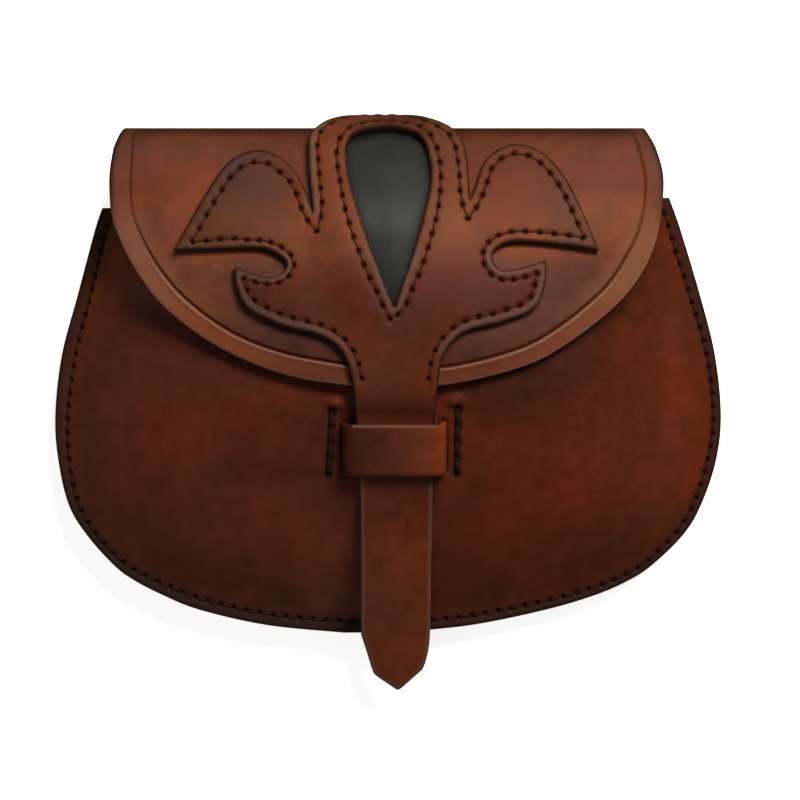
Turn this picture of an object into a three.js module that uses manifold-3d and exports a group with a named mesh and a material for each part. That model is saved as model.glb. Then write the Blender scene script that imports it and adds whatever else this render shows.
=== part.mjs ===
// A leather belt pouch that lies on its back. Millimetres.
// +X is to the right as seen from the front, +Y to the top of the pouch, +Z out of its front.
import * as THREE from "three";
import { mergeVertices } from "three/addons/utils/BufferGeometryUtils.js";
import Module from "manifold-3d";

const wasm = await Module();
wasm.setup();

// Leather and gaps
const LEATHER = 2.4;
const OVERLAY_LEATHER = 2.6;
const INLAY_LEATHER = 1.0;
const KEEPER_LEATHER = 2.2;
const GAP = 0.35;

// Levels above the surface that the belt loops rest on
const BELT_SPACE = 5.2;
const BACK_Z = LEATHER + BELT_SPACE;
const SEAM_Z = BACK_Z + LEATHER + GAP + LEATHER;

// Belly of the front panel
const SEAM_MARGIN = 5;
const BELLY = 33;
const BELLY_REACH = 80;
const BELLY_TOP_Y = 10;
const MOUTH_Y = 62;
const MOUTH_DROP = 18;
const MOUTH_FALL = 12;

// Rolled fold at the top and the flap that starts from it
const FOLD_RADIUS = 10.5;
const FOLD_CREST = 86;
const FLAP_SLOPE = THREE.MathUtils.degToRad(20);
const FLAP_HALF = 87;
const FLAP_DROOP = 34;
const FLAP_BLEND = 4;
const FLAP_CLEAR = 0.45;
const FOLD_Y = FOLD_CREST - FOLD_RADIUS;
const FOLD_Z = BACK_Z + FOLD_RADIUS;
const FLAP_START_Y = FOLD_Y + FOLD_RADIUS * Math.sin(FLAP_SLOPE);
const FLAP_START_Z = FOLD_Z + FOLD_RADIUS * Math.cos(FLAP_SLOPE);

// Overlay and closing strap
const OVERLAY_END = THREE.MathUtils.degToRad(107);
const INLAY_END = THREE.MathUtils.degToRad(74);
const INLAY_MARGIN = 5;
const INLAY_CLEAR = 2;
const INLAY_EASE = 5;
const STEP_TOP = 4;
const STEP_BOTTOM = -6;
const STRAP_LEAVE = -26;
const STRAP_X = 2.4;

// Keeper
const KEEPER_X = 1.9;
const KEEPER_Y = -14.2;
const KEEPER_WIDTH = 16.4;
const KEEPER_HALF = 15.2;
const KEEPER_TAIL = 10;
const KEEPER_BEND = 2.2;
const KEEPER_CLEAR = 0.5;
const TAIL_CLEAR = 1.7;
const SLIT_CLEAR = 0.5;

// Belt loops on the back
const LOOP_WIDTH = 30;
const LOOP_X = 45;
const LOOP_TOP = 44;
const LOOP_BOTTOM = -22;
const LOOP_RISE = 7;
const LOOP_TAB = 14;
const LOOP_BEND = 4;

// Outline of the pouch from the bottom up: a section of the front and the back in each row
const BODY_SECTIONS = [
  { leftX: -14, leftY: -73.3, rightX: 3, rightY: -73.2 },
  { leftX: -38.3, leftY: -70.9, rightX: 26.2, rightY: -70.9 },
  { leftX: -59.5, leftY: -66.1, rightX: 49.6, rightY: -66.1 },
  { leftX: -71.3, leftY: -61.4, rightX: 65.5, rightY: -61.4 },
  { leftX: -80.4, leftY: -56.7, rightX: 76.2, rightY: -56.7 },
  { leftX: -86.8, leftY: -51.9, rightX: 83.5, rightY: -51.9 },
  { leftX: -95.3, leftY: -42.4, rightX: 93.3, rightY: -42.4 },
  { leftX: -101, leftY: -32.9, rightX: 99, rightY: -32.9 },
  { leftX: -104.3, leftY: -19, rightX: 103.7, rightY: -19 },
  { leftX: -105.3, leftY: -4.4, rightX: 105.3, rightY: -4.4 },
  { leftX: -103.5, leftY: 14.6, rightX: 103.4, rightY: 14.6 },
  { leftX: -98.8, leftY: 33.5, rightX: 98.7, rightY: 33.5 },
  { leftX: -93.4, leftY: 53.8, rightX: 92.4, rightY: 54.5 },
  { leftX: -89.6, leftY: 61, rightX: 88.9, rightY: 64.3 },
];

// Outline of the flap from its lower edge up to the fold
const FLAP_SECTIONS = [
  { y: 4.3, left: -4, right: 8 },
  { y: 4.8, left: -12.5, right: 15.5 },
  { y: 6.6, left: -25.3, right: 24.2 },
  { y: 9.1, left: -35.9, right: 32.5 },
  { y: 12.5, left: -46.2, right: 42.8 },
  { y: 17.8, left: -56.9, right: 53.7 },
  { y: 24, left: -64.8, right: 62.1 },
  { y: 31, left: -72.4, right: 70.4 },
  { y: 39, left: -78.3, right: 77.3 },
  { y: 47.5, left: -82.8, right: 82.1 },
  { y: 57, left: -86, right: 85 },
  { y: 67, left: -87, right: 86.1 },
  { y: 73, left: -86.9, right: 85.7 },
];

// Width of the fold and of the neck of the back panel behind it, by the angle around the fold
const FOLD_SECTIONS = [
  { angle: 20, left: -86.1, right: 84.1 },
  { angle: 36, left: -85.3, right: 83 },
  { angle: 54, left: -84.4, right: 81.8 },
  { angle: 72, left: -83.7, right: 81.1 },
  { angle: 90, left: -83.4, right: 80.8 },
  { angle: 115, left: -83.6, right: 81 },
  { angle: 145, left: -84, right: 81.3 },
  { angle: 180, left: -84, right: 81.3 },
];

// Outline of the overlay and strap from the arch at the top to the tip, left and right
const OVERLAY_SIDES = [
  { at: "arch", leftX: -9, leftY: 92, rightX: 9, rightY: 92 },
  { at: "arch", leftX: -19.5, leftY: 89.4, rightX: 16, rightY: 89.4 },
  { at: "arch", leftX: -24, leftY: 86, rightX: 21, rightY: 86 },
  { at: "stem", leftX: -25, leftY: 80.5, rightX: 23.4, rightY: 80.9 },
  { at: "stem", leftX: -24.7, leftY: 71, rightX: 25, rightY: 72.5 },
  { at: "notch", leftX: -23.3, leftY: 57.6, rightX: 25.6, rightY: 61.6, corner: true },
  { at: "wing", leftX: -26.3, leftY: 66, rightX: 27.2, rightY: 66 },
  { at: "wing", leftX: -31, leftY: 73, rightX: 31, rightY: 75 },
  { at: "wing", leftX: -39, leftY: 77.4, rightX: 39.2, rightY: 79.3 },
  { at: "wing", leftX: -48.6, leftY: 74.6, rightX: 48.6, rightY: 76.3 },
  { at: "wing", leftX: -56, leftY: 65, rightX: 57, rightY: 65.8 },
  { at: "wing tip", leftX: -66.3, leftY: 46, rightX: 65.1, rightY: 47.1, corner: true },
  { at: "hook", leftX: -53.6, leftY: 47.5, rightX: 52, rightY: 49.7 },
  { at: "hook", leftX: -39.5, leftY: 48, rightX: 39, rightY: 50 },
  { at: "hook", leftX: -33.2, leftY: 45, rightX: 33.3, rightY: 47.2 },
  { at: "hook", leftX: -31.2, leftY: 41, rightX: 32.4, rightY: 43 },
  { at: "hook", leftX: -35, leftY: 37.9, rightX: 35.2, rightY: 40 },
  { at: "hook", leftX: -41.5, leftY: 39, rightX: 42, rightY: 41 },
  { at: "barb tip", leftX: -47.3, leftY: 41.3, rightX: 48.7, rightY: 43.3, corner: true },
  { at: "barb", leftX: -46.8, leftY: 36, rightX: 48.7, rightY: 37 },
  { at: "barb", leftX: -43, leftY: 28.9, rightX: 45.2, rightY: 28.5 },
  { at: "barb", leftX: -32.2, leftY: 23.9, rightX: 35.7, rightY: 24.2 },
  { at: "barb", leftX: -20.1, leftY: 20.5, rightX: 23.6, rightY: 20.8 },
  { at: "waist", leftX: -13.6, leftY: 14.3, rightX: 17.5, rightY: 14.6 },
  { at: "waist", leftX: -10.9, leftY: 5.6, rightX: 15.5, rightY: 6 },
  { at: "strap", leftX: -10.1, leftY: -5.2, rightX: 14.4, rightY: -5.2, corner: true },
  { at: "strap", leftX: -8.7, leftY: -24.4, rightX: 13.9, rightY: -24.4 },
  { at: "strap", leftX: -8.5, leftY: -72.6, rightX: 13.2, rightY: -72.6, corner: true },
  { at: "tip", leftX: -6.8, leftY: -78.6, rightX: 12.4, rightY: -77.8 },
  { at: "tip", leftX: -4.1, leftY: -85.9, rightX: 9.2, rightY: -86 },
  { at: "tip", leftX: 2.4, leftY: -90.4, rightX: 3.8, rightY: -90.4, corner: true },
];

// Outline of the drop-shaped window from its round top to its point
const WINDOW_SIDES = [
  { leftX: -0.2, leftY: 85.3, rightX: 0.4, rightY: 85.3 },
  { leftX: -7.7, leftY: 84.3, rightX: 7.5, rightY: 83.9 },
  { leftX: -11.6, leftY: 82, rightX: 11, rightY: 81.2 },
  { leftX: -13, leftY: 76.5, rightX: 13, rightY: 74.5 },
  { leftX: -11.5, leftY: 66.1, rightX: 13.1, rightY: 66.1 },
  { leftX: -6.2, leftY: 49, rightX: 9, rightY: 49 },
  { leftX: 1.8, leftY: 29.6, rightX: 2, rightY: 29.6 },
];

// Points along both sides of a table, from its first row to its last, down one side and up the other
function sideCurve(rows, side, stepsPerRow) {
  const corners = rows.map((row, i) => i > 0 && i < rows.length - 1 && row.corner === true);
  const points = rows.map((row) => new THREE.Vector2(row[side + "X"], row[side + "Y"]));
  const curve = [];
  let start = 0;
  for (let i = 1; i < rows.length; i++) {
    if (i < rows.length - 1 && !corners[i]) continue;
    const stretch = new THREE.SplineCurve(points.slice(start, i + 1));
    curve.push(...stretch.getPoints(stepsPerRow * (i - start)).slice(start === 0 ? 0 : 1));
    start = i;
  }
  return curve;
}

function closedOutline(rows, stepsPerRow) {
  const left = sideCurve(rows, "left", stepsPerRow);
  const right = sideCurve(rows, "right", stepsPerRow);
  return [...left, ...right.reverse()];
}

const smoothstep = THREE.MathUtils.smoothstep;
const lerp = THREE.MathUtils.lerp;

function smoothMax(a, b, blend) {
  const overlap = Math.max(blend - Math.abs(a - b), 0);
  return Math.max(a, b) + (overlap * overlap) / (4 * blend);
}

// Distance from a point to an open line of points
function distanceToLine(line, x, y) {
  let nearest = Infinity;
  for (let i = 1; i < line.length; i++) {
    const a = line[i - 1];
    const b = line[i];
    const dx = b.x - a.x;
    const dy = b.y - a.y;
    const along = ((x - a.x) * dx + (y - a.y) * dy) / (dx * dx + dy * dy);
    const t = THREE.MathUtils.clamp(along, 0, 1);
    nearest = Math.min(nearest, Math.hypot(x - a.x - t * dx, y - a.y - t * dy));
  }
  return nearest;
}

function isInside(outline, x, y) {
  let inside = false;
  outline.forEach((a, i) => {
    const b = outline[(i + 1) % outline.length];
    const crosses = a.y > y !== b.y > y;
    if (crosses && x < a.x + ((b.x - a.x) * (y - a.y)) / (b.y - a.y)) inside = !inside;
  });
  return inside;
}

const BODY_STEPS = 2;
const bodyLeft = sideCurve(BODY_SECTIONS, "left", BODY_STEPS);
const bodyRight = sideCurve(BODY_SECTIONS, "right", BODY_STEPS);
const seamLine = [...bodyLeft].reverse().concat(bodyRight);
const windowOutline = closedOutline(WINDOW_SIDES, 3);

// Heights of the formed leather
function belly(x, y) {
  const inward = distanceToLine(seamLine, x, y) - SEAM_MARGIN;
  const share = THREE.MathUtils.clamp(inward / BELLY_REACH, 0, 1);
  return SEAM_Z + (BELLY - crownDrop(y)) * (1 - (1 - share) ** 2);
}

// How far the middle of the belly has dropped on its way up to the mouth
function crownDrop(y) {
  const up = THREE.MathUtils.clamp(y, BELLY_TOP_Y, MOUTH_Y) - BELLY_TOP_Y;
  return MOUTH_DROP * (up / (MOUTH_Y - BELLY_TOP_Y)) ** 2;
}

function slopeOf(height, x, y) {
  const step = 0.5;
  const alongX = (height(x + step, y) - height(x - step, y)) / (2 * step);
  const alongY = (height(x, y + step) - height(x, y - step)) / (2 * step);
  return new THREE.Vector2(alongX, alongY);
}

// A height that lies parallel to another one, at a distance along its normal
function parallel(height, distance) {
  return (x, y) => height(x, y) + distance * Math.sqrt(1 + slopeOf(height, x, y).lengthSq());
}

const overBelly = parallel(belly, FLAP_CLEAR + LEATHER);

// The middle of the flap runs straight from the fold until it touches the crown of the belly
const CONTACT_Y = BELLY_TOP_Y + (Math.tan(FLAP_SLOPE) * (MOUTH_Y - BELLY_TOP_Y) ** 2) / (2 * MOUTH_DROP);
const straightFlap = (y) => FLAP_START_Z + Math.tan(FLAP_SLOPE) * (FLAP_START_Y - y);
const CROWN_Z = straightFlap(CONTACT_Y) + crownDrop(CONTACT_Y);

function flap(x, y) {
  const middle = y > CONTACT_Y ? straightFlap(y) : CROWN_Z - crownDrop(y);
  const fromFold = (FLAP_START_Y - y) / FLAP_START_Y;
  const droop = FLAP_DROOP * Math.abs(x / FLAP_HALF) ** 2.5 * fromFold ** 2;
  const pastMouth = MOUTH_FALL * smoothstep(y, MOUTH_Y - 2, MOUTH_Y + 10);
  const covered = overBelly(x, y) - pastMouth;
  return smoothMax(middle - droop, covered, FLAP_BLEND);
}

// What the overlay and the strap lie on: the flap, then the belly, then nothing
function underStrap(x, y) {
  if (y >= STEP_TOP) return flap(x, y);
  if (y >= STRAP_LEAVE) {
    const onFlap = smoothstep(y, STEP_BOTTOM, STEP_TOP);
    return lerp(belly(x, y), flap(x, y), onFlap);
  }
  const slope = slopeOf(belly, STRAP_X, STRAP_LEAVE).y;
  return belly(x, STRAP_LEAVE) + slope * (y - STRAP_LEAVE);
}

// A point at a distance off a height, along the normal; above the flap's start it runs around the fold
function offHeight(height, x, s, distance) {
  if (s <= FLAP_START_Y) {
    const slope = slopeOf(height, x, s);
    const normal = new THREE.Vector3(-slope.x, -slope.y, 1).normalize();
    return new THREE.Vector3(x, s, height(x, s)).addScaledVector(normal, distance);
  }
  const angle = FLAP_SLOPE + (s - FLAP_START_Y) / FOLD_RADIUS;
  if (angle < Math.PI) {
    const radius = FOLD_RADIUS + distance;
    return new THREE.Vector3(x, FOLD_Y + radius * Math.sin(angle), FOLD_Z + radius * Math.cos(angle));
  }
  return new THREE.Vector3(x, FOLD_Y - (angle - Math.PI) * FOLD_RADIUS, BACK_Z - distance);
}

const foldLength = (angle) => FLAP_START_Y + FOLD_RADIUS * (angle - FLAP_SLOPE);
const backLength = (y) => foldLength(Math.PI) + FOLD_Y - y;

// A closed sheet between two grids of points with as many rows and columns
function sheet(upper, lower) {
  const rows = upper.length;
  const columns = upper[0].length;
  const points = [...upper.flat(), ...lower.flat()];
  const at = (level, row, column) => (level * rows + row) * columns + column;
  const faces = [];
  const quad = (a, b, c, d) => faces.push(a, b, c, a, c, d);
  for (let r = 0; r + 1 < rows; r++) {
    for (let c = 0; c + 1 < columns; c++) {
      quad(at(0, r, c), at(0, r, c + 1), at(0, r + 1, c + 1), at(0, r + 1, c));
      quad(at(1, r, c), at(1, r + 1, c), at(1, r + 1, c + 1), at(1, r, c + 1));
    }
    quad(at(0, r, 0), at(0, r + 1, 0), at(1, r + 1, 0), at(1, r, 0));
    quad(at(0, r, columns - 1), at(1, r, columns - 1), at(1, r + 1, columns - 1), at(0, r + 1, columns - 1));
  }
  for (let c = 0; c + 1 < columns; c++) {
    quad(at(0, 0, c), at(1, 0, c), at(1, 0, c + 1), at(0, 0, c + 1));
    quad(at(0, rows - 1, c), at(0, rows - 1, c + 1), at(1, rows - 1, c + 1), at(1, rows - 1, c));
  }
  const geometry = new THREE.BufferGeometry().setFromPoints(points);
  return geometry.setIndex(faces);
}

// A sheet through sections, each from a left to a right point, between two distances off its surface
function sheetThrough(sections, shares, place, top, bottom) {
  const grid = (distance) =>
    sections.map(({ left, right }) =>
      shares.map((share) => {
        const flat = left.clone().lerp(right, share);
        return place(flat.x, flat.y, distance(flat.x, flat.y));
      }),
    );
  return sheet(grid(top), grid(bottom));
}

// Columns of a sheet: spread evenly, or closer together towards both sides
const evenSteps = (from, to, count) => Array.from({ length: count + 1 }, (_, i) => lerp(from, to, i / count));
const closerAtSides = (count) => evenSteps(0, Math.PI, count).map((angle) => 0.5 - 0.5 * Math.cos(angle));

const sectionsBetween = (left, right) => left.map((point, i) => ({ left: point, right: right[i] }));

// Booleans
function solidOf(geometry) {
  const bare = geometry.index ? geometry.toNonIndexed() : geometry.clone();
  bare.deleteAttribute("normal");
  bare.deleteAttribute("uv");
  const merged = mergeVertices(bare, 1e-3);
  const mesh = new wasm.Mesh({
    numProp: 3,
    vertProperties: merged.attributes.position.array,
    triVerts: new Uint32Array(merged.index.array),
  });
  return new wasm.Manifold(mesh);
}

function geometryOf(solid) {
  const mesh = solid.getMesh();
  const geometry = new THREE.BufferGeometry();
  geometry.setAttribute("position", new THREE.BufferAttribute(mesh.vertProperties, 3));
  return geometry.setIndex(new THREE.BufferAttribute(mesh.triVerts, 1));
}

// An upright prism over an outline, tall enough to cut through every piece
function prism(outline) {
  const shape = new THREE.Shape(outline);
  const geometry = new THREE.ExtrudeGeometry(shape, { depth: 120, bevelEnabled: false });
  return solidOf(geometry.translate(0, 0, -30));
}

// A band of leather along a line of points with rounded corners, as a flat shape
function bandShape(points, cornerRadius, thickness) {
  const line = [points[0]];
  for (let i = 1; i + 1 < points.length; i++) {
    const back = points[i - 1].clone().sub(points[i]).normalize();
    const on = points[i + 1].clone().sub(points[i]).normalize();
    const reach = cornerRadius / Math.tan(0.5 * Math.acos(THREE.MathUtils.clamp(back.dot(on), -1, 1)));
    const from = points[i].clone().addScaledVector(back, reach);
    const to = points[i].clone().addScaledVector(on, reach);
    line.push(...new THREE.QuadraticBezierCurve(from, points[i], to).getPoints(5));
  }
  line.push(points[points.length - 1]);
  const offset = (side) =>
    line.map((point, i) => {
      const ahead = line[Math.min(i + 1, line.length - 1)];
      const behind = line[Math.max(i - 1, 0)];
      const along = ahead.clone().sub(behind).normalize();
      return point.clone().add(new THREE.Vector2(-along.y, along.x).multiplyScalar(side * 0.5 * thickness));
    });
  return new THREE.Shape([...offset(1), ...offset(-1).reverse()]);
}

// Pieces
function makeFrontPanel() {
  const sections = sectionsBetween(bodyLeft, bodyRight);
  const place = (x, y, distance) => offHeight(belly, x, y, distance);
  const panel = sheetThrough(sections, closerAtSides(26), place, () => 0, () => -LEATHER);
  const slits = [-1, 1].map((side) => {
    const slit = new THREE.BoxGeometry(KEEPER_LEATHER + 2 * SLIT_CLEAR, KEEPER_WIDTH + 2 * SLIT_CLEAR, 14);
    return solidOf(slit.translate(side * KEEPER_HALF, 0, 0).applyMatrix4(keeperPlace()));
  });
  return geometryOf(slits.reduce((rest, slit) => rest.subtract(slit), solidOf(panel)));
}

function makeBackFlap() {
  const flapSections = FLAP_SECTIONS.map(({ y, left, right }) => ({
    left: new THREE.Vector2(left, y),
    right: new THREE.Vector2(right, y),
  }));
  const foldSections = FOLD_SECTIONS.map(({ angle, left, right }) => {
    const s = foldLength(THREE.MathUtils.degToRad(angle));
    return { left: new THREE.Vector2(left, s), right: new THREE.Vector2(right, s) };
  });
  const onBack = (point) => new THREE.Vector2(point.x, backLength(point.y));
  const neck = foldSections[foldSections.length - 1];
  const shoulder = {
    left: new THREE.Vector2(neck.left.x, backLength(bodyLeft[bodyLeft.length - 1].y) - 0.4),
    right: new THREE.Vector2(neck.right.x, backLength(bodyRight[bodyRight.length - 1].y) - 0.4),
  };
  const backSide = (curve) => curve.filter((_, i) => i % BODY_STEPS === 0).map(onBack);
  const backSections = sectionsBetween(backSide(bodyLeft), backSide(bodyRight)).reverse();
  const sections = [...flapSections, ...foldSections, shoulder, ...backSections];
  const place = (x, s, distance) => offHeight(flap, x, s, distance);
  return sheetThrough(sections, closerAtSides(20), place, () => 0, () => -LEATHER);
}

// How far the overlay is lifted by the inlay below it
function inlayLift(x, y) {
  const away = isInside(windowOutline, x, y) ? 0 : distanceToLine([...windowOutline, windowOutline[0]], x, y);
  const covered = 1 - smoothstep(away, INLAY_MARGIN + INLAY_CLEAR, INLAY_MARGIN + INLAY_CLEAR + INLAY_EASE);
  return covered * (INLAY_LEATHER + GAP);
}

function gridSections(left, right, lengths) {
  return lengths.map((s) => ({ left: new THREE.Vector2(left, s), right: new THREE.Vector2(right, s) }));
}

function makeOverlay() {
  const lengths = [
    ...evenSteps(-92, STRAP_LEAVE, 5),
    ...evenSteps(STRAP_LEAVE, STEP_TOP + 2, 13).slice(1),
    ...evenSteps(STEP_TOP + 2, FLAP_START_Y, 17).slice(1),
    ...evenSteps(FLAP_START_Y, foldLength(OVERLAY_END), 9).slice(1),
  ];
  const place = (x, s, distance) => offHeight(underStrap, x, s, distance);
  const sections = gridSections(-69, 68, lengths);
  const bottom = (x, s) => GAP + inlayLift(x, Math.min(s, FOLD_CREST));
  const top = (x, s) => bottom(x, s) + OVERLAY_LEATHER;
  const slab = solidOf(sheetThrough(sections, evenSteps(0, 1, 34), place, top, bottom));
  const outline = prism(closedOutline(OVERLAY_SIDES, 3));
  return geometryOf(slab.intersect(outline).subtract(prism(windowOutline)));
}

function makeInlay() {
  const grown = windowOutline.map((point, i) => {
    const ahead = windowOutline[(i + 1) % windowOutline.length];
    const behind = windowOutline[(i + windowOutline.length - 1) % windowOutline.length];
    const along = ahead.clone().sub(behind).normalize();
    return point.clone().add(new THREE.Vector2(-along.y, along.x).multiplyScalar(-INLAY_MARGIN));
  });
  const lengths = [
    ...evenSteps(18, FLAP_START_Y, 12),
    ...evenSteps(FLAP_START_Y, foldLength(INLAY_END), 6).slice(1),
  ];
  const place = (x, s, distance) => offHeight(flap, x, s, distance);
  const sections = gridSections(-21, 21, lengths);
  const slab = sheetThrough(sections, evenSteps(0, 1, 8), place, () => GAP + INLAY_LEATHER, () => GAP);
  return geometryOf(solidOf(slab).intersect(prism(grown)));
}

// The plane that touches the belly under the keeper
function keeperPlace() {
  const slope = slopeOf(belly, KEEPER_X, KEEPER_Y).y;
  const turn = new THREE.Matrix4().makeRotationX(Math.atan(slope));
  return turn.setPosition(KEEPER_X, KEEPER_Y, belly(KEEPER_X, KEEPER_Y));
}

function makeKeeper() {
  const over = GAP + OVERLAY_LEATHER + KEEPER_CLEAR + 0.5 * KEEPER_LEATHER;
  const under = -LEATHER - TAIL_CLEAR - 0.5 * KEEPER_LEATHER;
  const line = [
    [-KEEPER_HALF - KEEPER_TAIL, under],
    [-KEEPER_HALF, under],
    [-KEEPER_HALF, over],
    [KEEPER_HALF, over],
    [KEEPER_HALF, under],
    [KEEPER_HALF + KEEPER_TAIL, under],
  ].map(([u, w]) => new THREE.Vector2(u, w));
  const shape = bandShape(line, KEEPER_BEND, KEEPER_LEATHER);
  const band = new THREE.ExtrudeGeometry(shape, { depth: KEEPER_WIDTH, bevelEnabled: false });
  band.translate(0, 0, -0.5 * KEEPER_WIDTH).rotateX(0.5 * Math.PI);
  return band.applyMatrix4(keeperPlace());
}

function makeBeltLoop(side) {
  const tabLevel = BACK_Z - GAP - 0.5 * LEATHER;
  const line = [
    [LOOP_TOP + LOOP_RISE + LOOP_TAB, tabLevel],
    [LOOP_TOP + LOOP_RISE, tabLevel],
    [LOOP_TOP, 0.5 * LEATHER],
    [LOOP_BOTTOM, 0.5 * LEATHER],
    [LOOP_BOTTOM - LOOP_RISE, tabLevel],
    [LOOP_BOTTOM - LOOP_RISE - LOOP_TAB, tabLevel],
  ].map(([y, z]) => new THREE.Vector2(y, z));
  const shape = bandShape(line, LOOP_BEND, LEATHER);
  const band = new THREE.ExtrudeGeometry(shape, { depth: LOOP_WIDTH, bevelEnabled: false });
  const axes = new THREE.Matrix4().makeBasis(
    new THREE.Vector3(0, 1, 0),
    new THREE.Vector3(0, 0, 1),
    new THREE.Vector3(1, 0, 0),
  );
  return band.applyMatrix4(axes).translate(side * LOOP_X - 0.5 * LOOP_WIDTH, 0, 0);
}

// Leathers
const leather = (color, roughness) => new THREE.MeshStandardMaterial({ color, roughness, metalness: 0 });
const bodyLeather = leather(0x5a2616, 0.45);
const flapLeather = leather(0x7a4029, 0.42);
const strapLeather = leather(0x6e3420, 0.42);
const inlayLeather = leather(0x3c3f3a, 0.55);

const pouch = new THREE.Group();
pouch.name = "belt_pouch";
const pieces = [
  { name: "front_panel", geometry: makeFrontPanel(), material: bodyLeather },
  { name: "back_flap", geometry: makeBackFlap(), material: flapLeather },
  { name: "flap_overlay", geometry: makeOverlay(), material: strapLeather },
  { name: "window_inlay", geometry: makeInlay(), material: inlayLeather },
  { name: "keeper_loop", geometry: makeKeeper(), material: strapLeather },
  { name: "belt_loop_left", geometry: makeBeltLoop(-1), material: bodyLeather },
  { name: "belt_loop_right", geometry: makeBeltLoop(1), material: bodyLeather },
];
for (const { name, geometry, material } of pieces) {
  const mesh = new THREE.Mesh(geometry, material);
  mesh.name = name;
  pouch.add(mesh);
}

export default pouch;
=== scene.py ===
import math
from functools import partial

import bpy
import numpy as np
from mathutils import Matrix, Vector
from mathutils.geometry import delaunay_2d_cdt


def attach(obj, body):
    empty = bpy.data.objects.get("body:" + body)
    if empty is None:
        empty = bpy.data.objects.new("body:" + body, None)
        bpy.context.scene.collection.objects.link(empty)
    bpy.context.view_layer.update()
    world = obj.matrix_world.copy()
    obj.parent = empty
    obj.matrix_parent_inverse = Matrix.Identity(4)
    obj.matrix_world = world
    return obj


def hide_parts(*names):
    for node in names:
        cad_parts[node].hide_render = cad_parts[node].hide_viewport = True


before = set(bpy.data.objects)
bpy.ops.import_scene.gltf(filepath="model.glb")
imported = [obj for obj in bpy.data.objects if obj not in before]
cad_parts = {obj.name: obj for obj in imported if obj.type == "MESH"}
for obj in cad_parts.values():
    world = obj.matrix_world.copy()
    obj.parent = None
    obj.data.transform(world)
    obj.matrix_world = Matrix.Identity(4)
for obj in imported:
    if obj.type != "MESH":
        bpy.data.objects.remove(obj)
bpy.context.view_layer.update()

# All sizes are in millimetres until the meshes are made
METRES = 0.001

# Numbers of the axes
X = 0
Y = 1

# Leather and gaps
LEATHER = 2.4
OVERLAY_LEATHER = 2.6
INLAY_LEATHER = 1.0
KEEPER_LEATHER = 2.2
GAP = 0.35

# Levels
BELT_SPACE = 5.2
BACK_Z = LEATHER + BELT_SPACE
SEAM_Z = BACK_Z + LEATHER + GAP + LEATHER

# Belly of the front panel
SEAM_MARGIN = 5
BELLY = 33
BELLY_REACH = 80
BELLY_TOP_Y = 10
BELLY_SOFTNESS = 2.5
ABOVE_BODY = 130
MOUTH_Y = 62
MOUTH_DROP = 18
MOUTH_FALL = 12
MOUTH_FALL_Y = (MOUTH_Y - 2, MOUTH_Y + 10)

# Rolled fold and flap
FOLD_RADIUS = 10.5
FOLD_CREST = 86
FLAP_SLOPE = math.radians(26)
CROWN_SLOPE = math.radians(14)
FLAP_HALF = 87
FLAP_DROOP = 40
DROOP_POWER = 2.5
FLAP_BLEND = 4
FLAP_CLEAR = 0.45
SHOULDER_STEP = 0.4
FOLD_Y = FOLD_CREST - FOLD_RADIUS
FOLD_Z = BACK_Z + FOLD_RADIUS
FLAP_START_Y = FOLD_Y + FOLD_RADIUS * math.sin(FLAP_SLOPE)
FLAP_START_Z = FOLD_Z + FOLD_RADIUS * math.cos(FLAP_SLOPE)

# Pressed line along the edge of the flap; a pair of heights is where something comes in or fades
CREASE_DEPTH = 0.6
CREASE_HALF = 0.55
CREASE_CLOSER = 0.28
CREASE_CLOSER_S = (74, 88)
CREASE_WEAKER = 0.6
CREASE_WEAKER_S = (30, 62)
CREASE_TOP = math.radians(100)
CREASE_FADE = math.radians(40)
CREASE_FADE_LENGTH = 6
CREASE_BESIDE = (0.25, 0.5, 0.85, 1.2, 1.8)
# Painted shade along the pressed line: its half width, and how much paler it gets higher up
LINE_HALF = 0.48
LINE_PALER = 0.4
LINE_PALER_S = (44, 60)
MARGIN_CURL = 0.7
MARGIN_CURL_FADE = 20

# Lip beside the pressed line, and the light on it: strength, distance off, half width, heights of its fade
LIP = (0.42, 1.0, 0.45, 36, 52)
LIP_LIGHT = (0.42, 0.85, 0.32, 30, 46)

# Overlay, inlay and closing strap
INLAY_MARGIN = 5
INLAY_EASE = 16
INLAY_OVERLAP = 4.5
INLAY_DOME = 0.7
INLAY_DOME_EASE = 12
STEP_TOP = 4
STEP_BOTTOM = -6
STRAP_LEAVE = -26
STRAP_X = 2.4

# Keeper; its tails are sewn down by two short rows of stitches
KEEPER_X = 1.9
KEEPER_Y = -14.2
KEEPER_WIDTH = 16.4
KEEPER_HALF = 15.2
KEEPER_TAIL = 10
KEEPER_BEND = 3.4
KEEPER_CLEAR = 0.5
KEEPER_CROSSING = KEEPER_HALF - 2
# How narrow the painted highlight on the keeper's upper edge is, and the strength and half width of the
# painted shade along its lower edge
KEEPER_HIGHLIGHT_NARROWER = 1.6
KEEPER_PAINTED_SHADE = 0.8
KEEPER_PAINTED_SHADE_HALF = 0.9
TAIL_CLEAR = 1.7
TAIL_ROWS = (((-17.3, -3.4), (-18.4, -22.6)), ((21.7, -2.6), (21.4, -22.4)))
SLIT_CLEAR = 0.08

# Leather pushed up beside the upper ends of those rows
PUCKER_OFF = (0.8, 2.6)
PUCKER_HALF = (2.8, 1.9)
PUCKER_HEIGHT = 2.1
PUCKER_REACH = 2

# Belt loops
LOOP_WIDTH = 30
LOOP_X = 45
LOOP_TOP = 44
LOOP_BOTTOM = -22
LOOP_RISE = 7
LOOP_TAB = 14
LOOP_BEND = 4
TAB_Z = BACK_Z - GAP - LEATHER
TAB_SIDE_INSET = 3.5
TAB_ROWS = (3, 9.5)

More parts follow.
